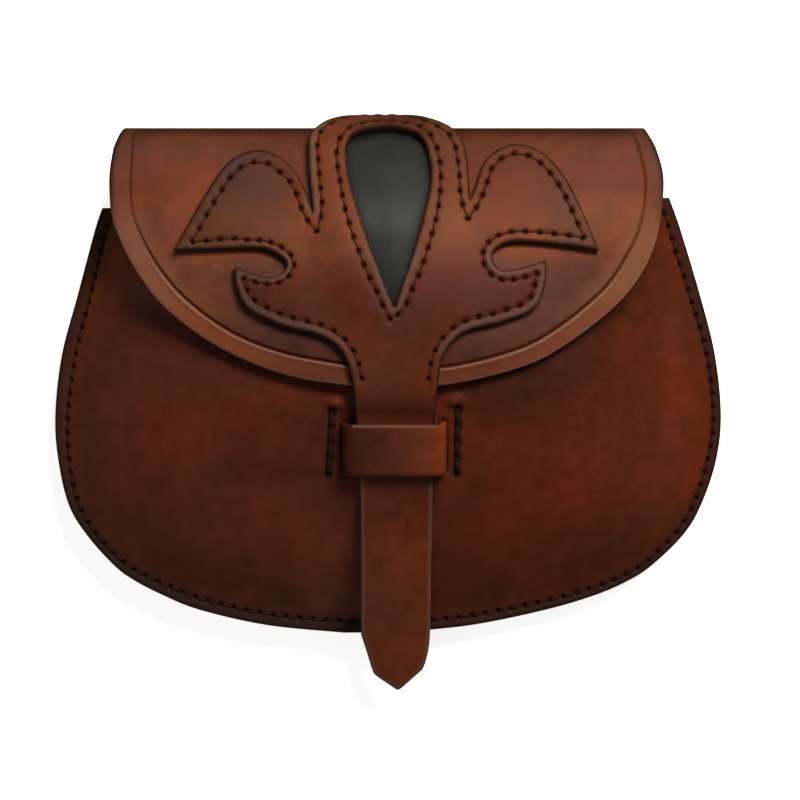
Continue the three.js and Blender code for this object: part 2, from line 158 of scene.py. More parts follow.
# Stitch rows; the rows of the overlay differ on its arch, its left wing and beside its bays
PITCH = 4.5
SEAM_PITCH = 4.2
SEAM_SMOOTHING = 13
SEAM_BLEND = 25
OVERLAY_INSET = 3.1
ARCH_TIGHTER = 0.8
ARCH_S = (76, 84)
ARCH_X = (25, 27)
WING_S = (47, 50)
LEFT_WING_WIDER = 0.7
LEFT_WING_X = (27, 31)
UNDER_WING_TIGHTER = 0.7
UNDER_WING_X = (48, 60)
LEFT_BAY_TIGHTER = 0.7
BAY_DENSER = (0.15, 0.18)
BAY_X = (24, 27, 42, 50)
BAY_S = (30, 34, 49, 53)
WINDOW_WIDER = 0.9
WINDOW_WIDER_S = (30, 42, 56, 70)
WINDOW_ROW_ENDS = ((0.6, 24.7), (3.0, 25.9))
BESIDE_KEEP = 0.97
CORNER_STEPS = 5
NOTCH_TURN = 2.0 * OVERLAY_INSET
OVERSHOOT_REACH = 2 * OVERLAY_INSET
STITCH_END_Y = 6.4

# Stitch holes and the trench between them, which get painted shade
HOLE_RADIUS = 0.66
HOLE_DEPTH = 1.4
HOLE_LONG = 1.25
HOLE_REACH = 3 * HOLE_RADIUS
HOLE_PAINTED_SHADE = 1.5 * HOLE_RADIUS
HOLE_RINGS = ((0.7, 6), (1.4, 9), (2.1, 10))
TRENCH_DEPTH = 0.14
TRENCH_HALF = 0.6
TRENCH_DENT = 0.8 * TRENCH_HALF
TRENCH_PAINTED_SHADE = 0.06
TAIL_SCALE = 1.7

# Thread: its radius, how deep it lies, and for places along a stitch its rise and how much painted shade it
# gets where it dips into a hole
THREAD_RADIUS = 0.36
TAIL_THREAD_RADIUS = 1.05
THREAD_SINK = 0.2
TAIL_THREAD_SINK = 0.4
TAB_THREAD_SINK = 0.15
THREAD_SIDES = 6
THREAD_SLANT = 0.44
THREAD_ALONG = np.array([0, 0.1, 0.22, 0.5, 0.78, 0.9, 1])
THREAD_RISE = np.array([-1.0, -0.45, 0.0, 0.12, 0.0, -0.45, -1.0])
THREAD_PAINTED_SHADE = np.array([1.0, 1.0, 0.3, 0.0, 0.3, 1.0, 1.0])

# Rounded edges of the leather
EDGE_ROUND = 0.75
EDGE_RINGS = (0.1, 0.3, 0.75, 1.4)
UNDER_ROUND = 0.3
BAND_ROUND = 0.65
BAND_TURNS = np.radians(np.arange(0, 91, 22.5))
BAND_COLUMNS = 7
NO_EDGE = 40

# Spacing of points along lines, and size of the cells between them
BELLY_STEP = 3
ROW_STEP = 1.0
STEP = 1.1
BODY_CELL = 2.2
FINE_STEP = 0.9
OVERLAY_CELL = 1.8
WINDOW_STEP = 0.8
INLAY_STEP = 1.2
INLAY_CELL = 2.0
BROAD_STEP = 1.5
PUCKER_CELL = 0.8
HEX_ROW = 0.866

# Distances that mesh points keep from edges and from each other
RING_KEEP = 0.93
FINE_CLEAR = 0.5
CELL_CLEAR = 0.4
MERGE = 1e-4

# Outline of the body from the bottom up: left x, left y, right x, right y
BODY_SECTIONS = np.array([
    (-14, -73.3, 3, -73.2),
    (-38.3, -70.9, 26.2, -70.9),
    (-59.5, -66.1, 49.6, -66.1),
    (-71.3, -61.4, 65.5, -61.4),
    (-80.4, -56.7, 76.2, -56.7),
    (-86.8, -51.9, 83.5, -51.9),
    (-95.3, -42.4, 93.3, -42.4),
    (-101, -32.9, 99, -32.9),
    (-104.3, -19, 103.7, -19),
    (-105.3, -4.4, 105.3, -4.4),
    (-103.2, 14.6, 103.4, 14.6),
    (-98.2, 33.5, 98.7, 33.5),
    (-92.8, 53.8, 92.4, 54.5),
    (-90.4, 61, 88.9, 64.3),
])

# Outline of the flap from its lower edge up: y, left x, right x
FLAP_SECTIONS = np.array([
    (4.3, -4, 8),
    (4.8, -12.5, 16.5),
    (6.6, -25.3, 27),
    (9.1, -34.9, 37),
    (12.5, -44, 46.6),
    (17.8, -54.4, 55.7),
    (24, -63.5, 64.2),
    (31, -71.3, 72.2),
    (39, -77.4, 78.5),
    (47.5, -82.2, 82.6),
    (57, -86, 85),
    (67, -87, 86.1),
    (73, -86.9, 85.7),
])

# Distance of the seam from the edge of the body: y of the edge, left inset, right inset
SEAM_INSETS = np.array([
    (-73, 3.5, 3.0),
    (-66, 3.5, 2.8),
    (-60, 3.3, 2.4),
    (-54, 2.8, 2.1),
    (-46, 2.4, 2.1),
    (-35, 2.9, 2.4),
    (-22, 3.2, 2.7),
    (-7, 3.9, 2.5),
    (10, 4.2, 2.5),
    (30, 4.0, 3.1),
    (50, 3.6, 3.6),
    (61, 3.7, 3.3),
])

# Distance of the pressed line from the edge of the flap: x of the edge, inset
CREASE_INSETS = np.array([
    (-87, 6.5),
    (-72, 6.6),
    (-50, 6.0),
    (-24, 6.8),
    (20, 5.6),
    (60, 6.0),
    (72, 6.4),
    (80, 7.0),
    (85, 5.8),
])

# Width of the fold and of the neck behind it: angle in degrees, left x, right x
FOLD_SECTIONS = np.array([
    (20, -86.1, 84.1),
    (36, -85.3, 83),
    (54, -84.4, 81.8),
    (72, -83.7, 81.1),
    (90, -83.4, 80.8),
    (115, -83.6, 81),
    (145, -84, 81.3),
    (180, -84, 81.3),
])

# Outline of the overlay and strap, unrolled, from the arch down: left x, left s, right x, right s, corner
OVERLAY_SIDES = np.array([
    (-4, 92.8, 2, 92.8, 0),
    (-12, 91.2, 7.5, 91.2, 0),
    (-18, 87.8, 13.2, 87.8, 0),
    (-21.9, 84.8, 18.6, 84.8, 0),
    (-24, 82.4, 21.4, 82.4, 0),
    (-25, 79.6, 23.5, 79.6, 0),
    (-24.7, 71, 25, 72.5, 0),
    (-23.3, 57.6, 25.6, 61.6, 1),
    (-26.3, 66, 27.2, 66, 0),
    (-31, 73, 31, 75, 0),
    (-39, 77.4, 39.2, 79.3, 0),
    (-48.6, 74.6, 48.6, 76.3, 0),
    (-56, 65, 57, 65.8, 0),
    (-66.1, 46.5, 65.3, 46.4, 1),
    (-53.6, 46.6, 52, 48.1, 0),
    (-39.5, 46.7, 39, 48.7, 0),
    (-33.2, 44.2, 33.3, 46.3, 0),
    (-31.2, 41, 32.4, 43, 0),
    (-35, 37.9, 35.2, 40, 0),
    (-41.5, 39, 42, 41, 0),
    (-47.3, 41.3, 48.7, 43.3, 1),
    (-46.8, 36, 48.7, 37, 0),
    (-43, 28.4, 45.2, 28.5, 0),
    (-32.2, 22.9, 35.7, 24.2, 0),
    (-20.1, 19.6, 23.6, 20.8, 0),
    (-13.6, 14.3, 17.5, 14.6, 0),
    (-10.9, 5.6, 15.5, 6, 0),
    (-10.1, -5.2, 14.4, -5.2, 1),
    (-8.7, -24.4, 13.9, -24.4, 0),
    (-8.5, -72.6, 13.1, -72.6, 1),
    (-6.6, -78.6, 12.6, -77.8, 0),
    (-4.9, -84.2, 11.2, -83, 0),
    (-3.6, -85.9, 9.6, -84.9, 0),
    (2.6, -90.3, 3.6, -90.3, 0),
])

# Outline of the window, unrolled, from its round top to its point: left x, left s, right x, right s
WINDOW_SIDES = np.array([
    (-0.2, 84, 0.4, 84),
    (-7.7, 82.9, 7, 82.6),
    (-11.6, 80.7, 10.6, 80.2),
    (-13, 76, 12.5, 75.3),
    (-11.5, 66.1, 13.1, 66.1),
    (-6.2, 49, 9, 49),
    (1.9, 28.1, 2.1, 28.1),
])


# Lines of points
def spline(points, steps=12):
    """A smooth curve through points."""
    before = np.vstack([points[:1], points[:-2]])[:, None]
    after = np.vstack([points[2:], points[-1:]])[:, None]
    a = points[:-1, None]
    b = points[1:, None]
    leave = 0.5 * (b - before)
    arrive = 0.5 * (after - a)
    t = np.linspace(0, 1, steps, endpoint=False)[None, :, None]
    cubic = (2 * a - 2 * b + leave + arrive) * t**3
    square = (3 * b - 3 * a - 2 * leave - arrive) * t**2
    curve = (cubic + square + leave * t + a).reshape(-1, points.shape[1])
    return np.vstack([curve, points[-1:]])


def even(line, spacing):
    """The same line with points at an even spacing, or at one that depends on the place."""
    steps = np.linalg.norm(np.diff(line, axis=0), axis=1)
    if callable(spacing):
        spacing = spacing(0.5 * (line[1:] + line[:-1]))
    run = np.concatenate([[0], np.cumsum(steps / spacing)])
    at = np.linspace(0, run[-1], max(1, round(run[-1])) + 1)
    return np.column_stack([np.interp(at, run, line[:, k]) for k in range(line.shape[1])])


def straight(start, end, spacing):
    """Points at an even spacing between two points."""
    return even(np.array([start, end], float), spacing)


def stretches(points, corners, spacing):
    """Smooth stretches of a line from corner to corner."""
    stops = [0, *corners, len(points) - 1]
    return [even(spline(points[a:b + 1]), spacing) for a, b in zip(stops, stops[1:])]


def joined(parts):
    """Stretches that follow each other, as one line."""
    return np.vstack([parts[0], *[part[1:] for part in parts[1:]]])


def both_sides(table, spacing):
    """The left and the right side of an outline: its rows are left x, left y, right x, right y."""
    return [even(spline(table[:, k:k + 2]), spacing) for k in (0, 2)]


def closed(loop):
    return np.vstack([loop, loop[:1]])


def unit(vectors):
    return vectors / np.linalg.norm(vectors, axis=-1, keepdims=True)


def left_of(directions):
    """Unit normals to the left of directions."""
    along = unit(directions)
    return np.column_stack([-along[:, 1], along[:, 0]])


def normals_of(line):
    return left_of(np.gradient(line, axis=0))


def loop_normals(loop):
    return left_of(np.roll(loop, -1, axis=0) - np.roll(loop, 1, axis=0))


# Shares between 0 and 1
def rise(value, low, high):
    t = np.clip((value - low) / (high - low), 0, 1)
    return t * t * (3 - 2 * t)


def fall(value, low, high):
    return 1 - rise(value, low, high)


def plateau(value, low, high, late, end):
    return rise(value, low, high) * fall(value, late, end)


def bell(value, half):
    return np.exp(-(value / half)**2)


# Points and lines
CHUNK = 1500
TINY = 1e-12


def distance_to(line, points):
    """Distance of each point from a line."""
    start = line[:-1]
    run = line[1:] - start
    length = np.maximum((run**2).sum(1), TINY)
    nearest = np.empty(len(points))
    for first in range(0, len(points), CHUNK):
        part = points[first:first + CHUNK]
        off_x = part[:, :1] - start[:, 0]
        off_y = part[:, 1:2] - start[:, 1]
        t = np.clip((off_x * run[:, 0] + off_y * run[:, 1]) / length, 0, 1)
        square = (off_x - t * run[:, 0])**2 + (off_y - t * run[:, 1])**2
        nearest[first:first + CHUNK] = np.sqrt(square.min(1))
    return nearest


def inside(loop, points):
    """Which points lie inside a closed loop."""
    ahead = np.roll(loop, -1, axis=0)
    climb = ahead[:, 1] - loop[:, 1]
    lean = (ahead[:, 0] - loop[:, 0]) / np.where(climb == 0, 1, climb)
    found = np.empty(len(points), bool)
    for first in range(0, len(points), CHUNK):
        part = points[first:first + CHUNK]
        y = part[:, 1:2]
        crosses = (loop[:, 1] > y) != (ahead[:, 1] > y)
        left = part[:, :1] < loop[:, 0] + lean * (y - loop[:, 1])
        found[first:first + CHUNK] = (crosses & left).sum(1) % 2 == 1
    return found


# Heights over a grid, read between its points
GRID_STEP = 1.0
GRID_X = np.arange(-112, 112.5, GRID_STEP)
GRID_Y = np.arange(-96, 98.5, GRID_STEP)
GRID_END = 1.001


def grid_points():
    x, y = np.meshgrid(GRID_X, GRID_Y)
    return np.column_stack([x.ravel(), y.ravel()])


def on_grid(values):
    return values.reshape(len(GRID_Y), len(GRID_X))


def smoothed(row, weights):
    """A row of values, each replaced by a weighted mean of its neighbours."""
    return np.convolve(np.pad(row, len(weights) // 2, mode="edge"), weights, "valid")


def softened(values, softness):
    """Values on the grid, blurred both ways."""
    reach = np.arange(-int(3 * softness), int(3 * softness) + 1)
    weights = np.exp(-0.5 * (reach / softness)**2)
    weights /= weights.sum()
    for axis in (0, 1):
        values = np.apply_along_axis(smoothed, axis, values, weights)
    return values


def read(values, x, y):
    """Values of a grid at any points."""
    column = np.clip((x - GRID_X[0]) / GRID_STEP, 0, len(GRID_X) - GRID_END)
    row = np.clip((y - GRID_Y[0]) / GRID_STEP, 0, len(GRID_Y) - GRID_END)
    c = column.astype(int)
    r = row.astype(int)
    u = column - c
    v = row - r
    lower = values[r, c] * (1 - u) + values[r, c + 1] * u
    upper = values[r + 1, c] * (1 - u) + values[r + 1, c + 1] * u
    return lower * (1 - v) + upper * v


def slopes(values, x, y):
    step = GRID_STEP
    along_x = (read(values, x + step, y) - read(values, x - step, y)) / (2 * step)
    along_y = (read(values, x, y + step) - read(values, x, y - step)) / (2 * step)
    return along_x, along_y


def crown_drop(y):
    up = np.clip(y, BELLY_TOP_Y, MOUTH_Y) - BELLY_TOP_Y
    return MOUTH_DROP * (up / (MOUTH_Y - BELLY_TOP_Y))**2


def belly_grid():
    """The formed front of the pouch."""
    points = grid_points()
    left, right = both_sides(BODY_SECTIONS, BELLY_STEP)
    seam = np.vstack([left[::-1], right])
    body = np.vstack([seam, [(right[-1, 0], ABOVE_BODY), (left[-1, 0], ABOVE_BODY)]])
    inward = np.where(inside(body, points), distance_to(seam, points) - SEAM_MARGIN, 0)
    share = np.clip(inward / BELLY_REACH, 0, 1)
    height = SEAM_Z + (BELLY - crown_drop(points[:, 1])) * (1 - (1 - share)**2)
    return softened(on_grid(height), BELLY_SOFTNESS)


def smooth_max(a, b, blend):
    overlap = np.maximum(blend - np.abs(a - b), 0)
    return np.maximum(a, b) + overlap**2 / (4 * blend)


def taut_flap(y, contact):
    """Height of the flap between the fold and the place where it touches the crown of the belly."""
    steep = math.tan(FLAP_SLOPE)
    ease = (steep - math.tan(CROWN_SLOPE)) / (2 * (FLAP_START_Y - contact))
    away = FLAP_START_Y - y
    return FLAP_START_Z + steep * away - ease * away**2


def flap_grid(belly):
    """The flap: taut from the fold to the crown, drooping at its sides, and lying on the belly below."""
    x, y = grid_points().T
    contact = BELLY_TOP_Y + math.tan(CROWN_SLOPE) * (MOUTH_Y - BELLY_TOP_Y)**2 / (2 * MOUTH_DROP)
    crown = taut_flap(contact, contact) + crown_drop(contact)
    middle = np.where(y > contact, taut_flap(y, contact), crown - crown_drop(y))
    from_fold = (FLAP_START_Y - y) / FLAP_START_Y
    droop = FLAP_DROOP * np.abs(x / FLAP_HALF)**DROOP_POWER * from_fold**2
    slope_x, slope_y = slopes(belly, x, y)
    covered = read(belly, x, y) + (FLAP_CLEAR + LEATHER) * np.sqrt(1 + slope_x**2 + slope_y**2)
    covered -= MOUTH_FALL * rise(y, *MOUTH_FALL_Y)
    return on_grid(smooth_max(middle - droop, covered, FLAP_BLEND))


def strap_grid(belly, flap):
    """What the overlay and the strap lie on: the flap, then the belly, then nothing."""
    x, y = grid_points().T
    share = rise(y, STEP_BOTTOM, STEP_TOP)
    lying = read(flap, x, y) * share + read(belly, x, y) * (1 - share)
    _, slope = slopes(belly, STRAP_X, STRAP_LEAVE)
    free = read(belly, x, STRAP_LEAVE) + slope * (y - STRAP_LEAVE)
    return on_grid(np.where(y >= STRAP_LEAVE, lying, free))


def off_height(values, flat, distance):
    """Points at a distance off a height; above the flap's start they run over the fold and down the back."""
    x, s = flat.T
    y = np.minimum(s, FLAP_START_Y)
    slope_x, slope_y = slopes(values, x, y)
    size = np.sqrt(1 + slope_x**2 + slope_y**2)
    front = np.column_stack([
        x - distance * slope_x / size,
        y - distance * slope_y / size,
        read(values, x, y) + distance / size,
    ])
    angle = FLAP_SLOPE + (s - FLAP_START_Y) / FOLD_RADIUS
    turn = np.clip(angle, FLAP_SLOPE, math.pi)
    radius = FOLD_RADIUS + distance
    down = np.maximum(angle - math.pi, 0) * FOLD_RADIUS
    around = np.column_stack([
        x,
        FOLD_Y + radius * np.sin(turn) - down,
        FOLD_Z + radius * np.cos(turn),
    ])
    return np.where((s <= FLAP_START_Y)[:, None], front, around)


def fold_length(angle):
    return FLAP_START_Y + FOLD_RADIUS * (angle - FLAP_SLOPE)


def back_length(y):
    return fold_length(math.pi) + FOLD_Y - y


BELLY_GRID = belly_grid()
FLAP_GRID = flap_grid(BELLY_GRID)
STRAP_GRID = strap_grid(BELLY_GRID, FLAP_GRID)

on_belly = partial(off_height, BELLY_GRID)
on_flap = partial(off_height, FLAP_GRID)
on_strap = partial(off_height, STRAP_GRID)


# Meshes
def linked(name, data):
    """A new object of the scene."""
    thing = bpy.data.objects.new(name, data)
    bpy.context.scene.collection.objects.link(thing)
    return thing


def build(name, points, faces, materials, attributes, face_materials=None):
    """A smooth mesh piece from points in millimetres."""
    mesh = bpy.data.meshes.new(name)
    mesh.from_pydata((points * METRES).tolist(), [], faces)
    for material in materials:
        mesh.materials.append(material)
    for label, values in attributes.items():
        layer = mesh.attributes.new(label, "FLOAT", "POINT")
        layer.data.foreach_set("value", np.asarray(values, np.float32))
    if face_materials is not None:
        mesh.polygons.foreach_set("material_index", np.asarray(face_materials, np.int32))
    mesh.polygons.foreach_set("use_smooth", np.ones(len(mesh.polygons), bool))
    mesh.update()
    return linked(name, mesh)


def tube_faces(first, stations, ring):
    """Faces of a closed tube: its wall from ring to ring, then its two ends."""
    faces = []
    for station in range(stations - 1):
        a = first + station * ring
        for k in range(ring):
            n = (k + 1) % ring
            faces.append((a + k, a + n, a + ring + n, a + ring + k))
    last = first + (stations - 1) * ring
    faces.append(tuple(first + k for k in reversed(range(ring))))
    faces.append(tuple(last + k for k in range(ring)))
    return faces


def hex_points(loop, cell):
    """Points in offset rows over the box around a loop."""
    low = loop.min(0)
    high = loop.max(0)
    rows = np.arange(low[1], high[1], cell * HEX_ROW)
    columns = np.arange(low[0], high[0], cell)
    x, y = np.meshgrid(columns, rows)
    x[1::2] += 0.5 * cell
    return np.column_stack([x.ravel(), y.ravel()])


def rounding(edge, radius):
    """How far a rounded edge lies below the flat face beside it."""
    share = np.clip(1 - edge / radius, 0, 1)
    return radius * (1 - np.sqrt(1 - share**2))


class Sheet:
    """A flat cut of leather with its stitch holes, turned into triangles."""

    def __init__(self, outline, cell, holes=(), slits=(), stitch_lines=(), extra=()):
        self.loops = [outline, *holes, *slits]
        self.rounded = 1 + len(holes)
        self.edges = [closed(loop) for loop in self.loops]
        self.stitch_lines = list(stitch_lines)
        self.points, self.triangles = self.triangulate(cell, list(extra))
        self.edge = self.edge_distance(self.points, self.rounded)

    def covers(self, points):
        found = inside(self.loops[0], points)
        for hole in self.loops[1:]:
            found &= ~inside(hole, points)
        return found

    def edge_distance(self, points, count=None):
        return np.min([distance_to(edge, points) for edge in self.edges[:count]], axis=0)

    def edge_points(self):
        """Points on both sides of the rounded edges."""
        found = []
        for loop in self.loops[:self.rounded]:
            normal = loop_normals(loop)
            for distance in EDGE_RINGS:
                ring = np.vstack([loop + distance * normal, loop - distance * normal])
                found.append(ring[self.edge_distance(ring) > RING_KEEP * distance])
        return found

    def stitch_points(self):
        """Points that let the holes and the trench between them show in the mesh."""
        found = []
        for line, scale in self.stitch_lines:
            found.append(line)
            for share, count in HOLE_RINGS:
                for turn in 2 * math.pi * np.arange(count) / count:
                    arm = np.array([math.cos(turn), math.sin(turn)])
                    found.append(line + share * scale * HOLE_RADIUS * arm)
            trench = even(line, STEP)
            beside = scale * TRENCH_HALF * normals_of(trench)
            found += [trench, trench + beside, trench - beside]
        return found

    def border_edges(self):
        edges = []
        for loop in self.loops:
            first = len(edges)
            edges += [(first + k, first + (k + 1) % len(loop)) for k in range(len(loop))]
        return edges

    def triangulate(self, cell, extra):
        fine = [part[self.edge_distance(part) > FINE_CLEAR] for part in [*self.stitch_points(), *extra]]
        grid = hex_points(self.loops[0], cell)
        grid = grid[self.edge_distance(grid) > EDGE_RINGS[-1] + CELL_CLEAR * cell]
        free = np.vstack([*self.edge_points(), *fine, grid])
        free = free[self.covers(free)]
        flat = [Vector(point) for point in np.vstack([*self.loops, free])]
        made = delaunay_2d_cdt(flat, self.border_edges(), [], 0, MERGE)
        points = np.array([tuple(point) for point in made[0]])
        triangles = np.array(made[2])
        middle = points[triangles].mean(1)
        return points, triangles[self.covers(middle)]

    def relief(self):
        """How deep the stitch holes and trenches go, and how much painted shade they get."""
        depth = np.zeros(len(self.points))
        dark = np.zeros(len(self.points))
        for line, scale in self.stitch_lines:
            near = distance_to(line, self.points) / scale
            depth = np.maximum(depth, scale * TRENCH_DEPTH * bell(near, TRENCH_DENT))
            dark = np.maximum(dark, scale * TRENCH_PAINTED_SHADE * bell(near, TRENCH_HALF))
            close = np.flatnonzero(near < HOLE_REACH)
            gap = self.points[close, None] - line[None]
            side = normals_of(line)
            across = (gap * side).sum(2)
            along = gap[..., 0] * side[:, 1] - gap[..., 1] * side[:, 0]
            hole = np.sqrt(((along / HOLE_LONG)**2 + (across * HOLE_LONG)**2).min(1)) / scale
            depth[close] = np.maximum(depth[close], HOLE_DEPTH * bell(hole, HOLE_RADIUS))
            dark[close] = np.maximum(dark[close], np.exp(-(hole / HOLE_PAINTED_SHADE)**4))
        return depth, np.minimum(dark, 1)

    def walls(self):
        """Faces that join the rims of the upper and the lower side."""
        count = len(self.points)
        a, b, c = self.triangles.T
        sides = np.vstack([np.column_stack(pair) for pair in ((a, b), (b, c), (c, a))]).tolist()
        back = {(v, u) for u, v in sides}
        return [(u, u + count, v + count, v) for u, v in sides if (u, v) not in back]

    def piece(self, name, place, bottom, top, materials, marks=None):
        """The sheet as a solid: bottom and top are distances off the surface it lies on."""
        depth, dark = self.relief()
        upper = top - rounding(self.edge, EDGE_ROUND) - depth
        lower = bottom + rounding(self.edge, UNDER_ROUND)
        points = np.vstack([place(self.points, upper), place(self.points, lower)])
        count = len(self.points)
        under_side = self.triangles[:, (0, 2, 1)] + count
        walls = self.walls()
        faces = self.triangles.tolist() + under_side.tolist() + walls
        kinds = [0] * len(self.triangles) + [1] * len(under_side) + [0] * len(walls)
        attributes = {"edge": np.tile(np.minimum(self.edge, NO_EDGE), 2)}
        for label, values in {"painted_shade": dark, **(marks or {})}.items():
            attributes[label] = np.concatenate([values, np.zeros(count)])
        return build(name, points, faces, materials, attributes, kinds)


# Stitch rows
def near_bay(points):
    """How near points lie to the bays between wings and hooks: 1 beside a bay, 0 away from it."""
    x, s = points.T
    return plateau(np.abs(x), *BAY_X) * plateau(s, *BAY_S)


def outer_pitch(points):
    """Distance between holes of the outer row: they lie closer together beside the bays."""
    left, right = BAY_DENSER
    return PITCH * (1 - np.where(points[:, 0] < 0, left, right) * near_bay(points))


def outer_inset(points):
    """Distance of the outer row from the edge of the overlay."""
    x, s = points.T
    on_arch = ARCH_TIGHTER * rise(s, *ARCH_S) * fall(np.abs(x), *ARCH_X)
    above = rise(s, *WING_S)
    on_wing = LEFT_WING_WIDER * rise(-x, *LEFT_WING_X) * above
    under_wing = UNDER_WING_TIGHTER * rise(-x, *UNDER_WING_X) * (1 - above)
    at_bay = LEFT_BAY_TIGHTER * (x < 0) * near_bay(points)
    return OVERLAY_INSET - on_arch + on_wing - under_wing - at_bay


def window_inset(points):
    """Distance of the inner row from the window: smaller on the arch, larger halfway down."""
    s = points[:, 1]
    return OVERLAY_INSET - ARCH_TIGHTER * rise(s, *ARCH_S) + WINDOW_WIDER * plateau(s, *WINDOW_WIDER_S)


def without_overshoot(beside, corner, ahead):
    """Points of a row without those that lie just beyond its corner."""
    off = beside - corner
    beyond = (off @ ahead > 0) & (np.linalg.norm(off, axis=1) < OVERSHOOT_REACH)
    return beside[~beyond]


def turning_point(last, part, side, inset_of):
    """Where the rows beside two stretches meet; in a notch it stays near the corner."""
    before = normals_of(last)[-1]
    after = normals_of(part)[0]
    insets = (inset_of(last)[-CORNER_STEPS], inset_of(part)[CORNER_STEPS - 1])
    turn = np.linalg.solve(np.vstack([before, after]), insets)
    if (before[0] * after[1] - before[1] * after[0]) * side < 0:
        turn *= min(1, NOTCH_TURN / np.linalg.norm(turn))
    return part[0] + side * turn


def inset_line(parts, loop, side, inset_of):
    """A row beside the stretches of a closed loop, with sharp turns where the stretches meet."""
    edge = closed(loop)
    line = []
    last = None
    for part in parts:
        inset = inset_of(part)
        beside = part + side * inset[:, None] * normals_of(part)
        beside = beside[distance_to(edge, beside) > BESIDE_KEEP * inset]
        if last is not None:
            corner = turning_point(last, part, side, inset_of)
            line[-1] = without_overshoot(line[-1], corner, last[-1] - last[-2])
            beside = without_overshoot(beside, corner, part[0] - part[1])
            line.append(corner[None])
        line.append(beside)
        last = part
    return line


def holes_along(line, pitch):
    """Stitch holes along a row whose stretches end in sharp turns."""
    stops = [part for part in line if len(part)]
    corners = [k for k, part in enumerate(stops) if len(part) == 1]
    legs = zip([0, *corners], [*corners, len(stops) - 1])
    return joined([even(np.vstack(stops[first:last + 1]), pitch) for first, last in legs])


# Threads
def thread_path(line):
    """Places along all stitches of a row; each stitch slants a little from hole to hole."""
    run = (line[1:] - line[:-1])[:, None]
    side = unit(np.dstack([-run[..., 1], run[..., 0]]))
    along = THREAD_ALONG[None, :, None]
    flat = line[:-1, None] + run * along + side * THREAD_SLANT * (along - 0.5)
    return flat.reshape(-1, 2)


def thread_tubes(line, place, top, sink, radius):
    """Points around all stitches of a row, ring after ring."""
    flat = thread_path(line)
    stitches = len(line) - 1
    height = np.tile(THREAD_RISE, stitches) + top(flat) - sink
    centre = place(flat, height)
    lift = place(flat, height + 1) - centre
    ahead = np.gradient(centre.reshape(stitches, -1, 3), axis=1).reshape(-1, 3)
    across = unit(np.cross(ahead, lift))
    upright = unit(np.cross(across, ahead))
    turns = (2 * math.pi * np.arange(THREAD_SIDES) / THREAD_SIDES)[None, :, None]
    ring = np.cos(turns) * across[:, None] + np.sin(turns) * upright[:, None]
    return (centre[:, None] + radius * ring).reshape(-1, 3)


def no_lift(flat):
    return np.zeros(len(flat))


def thread_piece(name, lines, place, material, radius=THREAD_RADIUS, sink=THREAD_SINK, top=no_lift):
    """The threads of some stitch rows; top is the height of the leather they are sewn into."""
    points = np.vstack([thread_tubes(line, place, top, sink, radius) for line in lines])
    stations = len(THREAD_ALONG)
    stitch_points = stations * THREAD_SIDES
    faces = []
    for first in range(0, len(points), stitch_points):
        faces += tube_faces(first, stations, THREAD_SIDES)
    thread_shade = np.tile(np.repeat(THREAD_PAINTED_SHADE, THREAD_SIDES), len(points) // stitch_points)
    return build(name, points, faces, [material], {"painted_shade": thread_shade})


# Bands
def rounded_line(points, radius, steps=7):
    """A line of points with rounded corners."""
    points = np.asarray(points, float)
    line = [points[0]]
    for before, corner, after in zip(points, points[1:], points[2:]):
        back = unit(before - corner)
        on = unit(after - corner)
        half = 0.5 * math.acos(np.clip(back @ on, -1, 1))
        reach = radius / math.tan(half)
        for t in np.linspace(0, 1, steps + 1):
            line.append(corner + reach * (back * (1 - t)**2 + on * t**2))
    line.append(points[-1])
    return np.array(line)


def band_section(width, thickness):
    """Cross-section of a band with rounded edges: across, up, and the distance from the nearest edge."""
    half = 0.5 * width
    top = 0.5 * thickness
    dips = [(BAND_ROUND * (1 - math.cos(t)), BAND_ROUND * (1 - math.sin(t))) for t in BAND_TURNS]
    corner = [(half - v, top - w) for v, w in dips]
    inner = [(half - d, top) for d in np.linspace(BAND_ROUND, half, BAND_COLUMNS)[1:-1]]
    quarter = corner + inner
    upper = quarter + [(0, top)] + [(-v, w) for v, w in reversed(quarter)]
    lower = [(-v, -w) for v, w in upper]
    section = np.array(upper + lower)
    return section, half - np.abs(section[:, 0])


def band_piece(name, line, width, thickness, axes, origin, material, marks=None):
    """A band swept along a flat line; the axes are the line's two directions and that of the width."""
    line = joined([straight(start, end, BROAD_STEP) for start, end in zip(line, line[1:])])
    section, edge = band_section(width, thickness)
    flat = line[:, None] + normals_of(line)[:, None] * section[None, :, 1:2]
    across = np.broadcast_to(section[None, :, :1], (*flat.shape[:2], 1))
    points = np.concatenate([flat, across], axis=2).reshape(-1, 3) @ axes + origin
    faces = tube_faces(0, len(line), len(section))
    if np.linalg.det(axes) < 0:
        faces = [face[::-1] for face in faces]
    stations = np.arange(len(line))
    from_end = np.minimum(stations, stations[::-1]) * BROAD_STEP
    edge = np.minimum(edge[None], from_end[:, None])
    painted_shade = np.zeros_like(edge)
    if marks:
        edge, painted_shade = marks(flat[..., 0], across[..., 0], edge)
    return build(name, points, faces, [material], {"edge": edge.ravel(), "painted_shade": painted_shade.ravel()})


# Materials; most of a noise lies between these values
NOISE_ENDS = (0.3, 0.7)


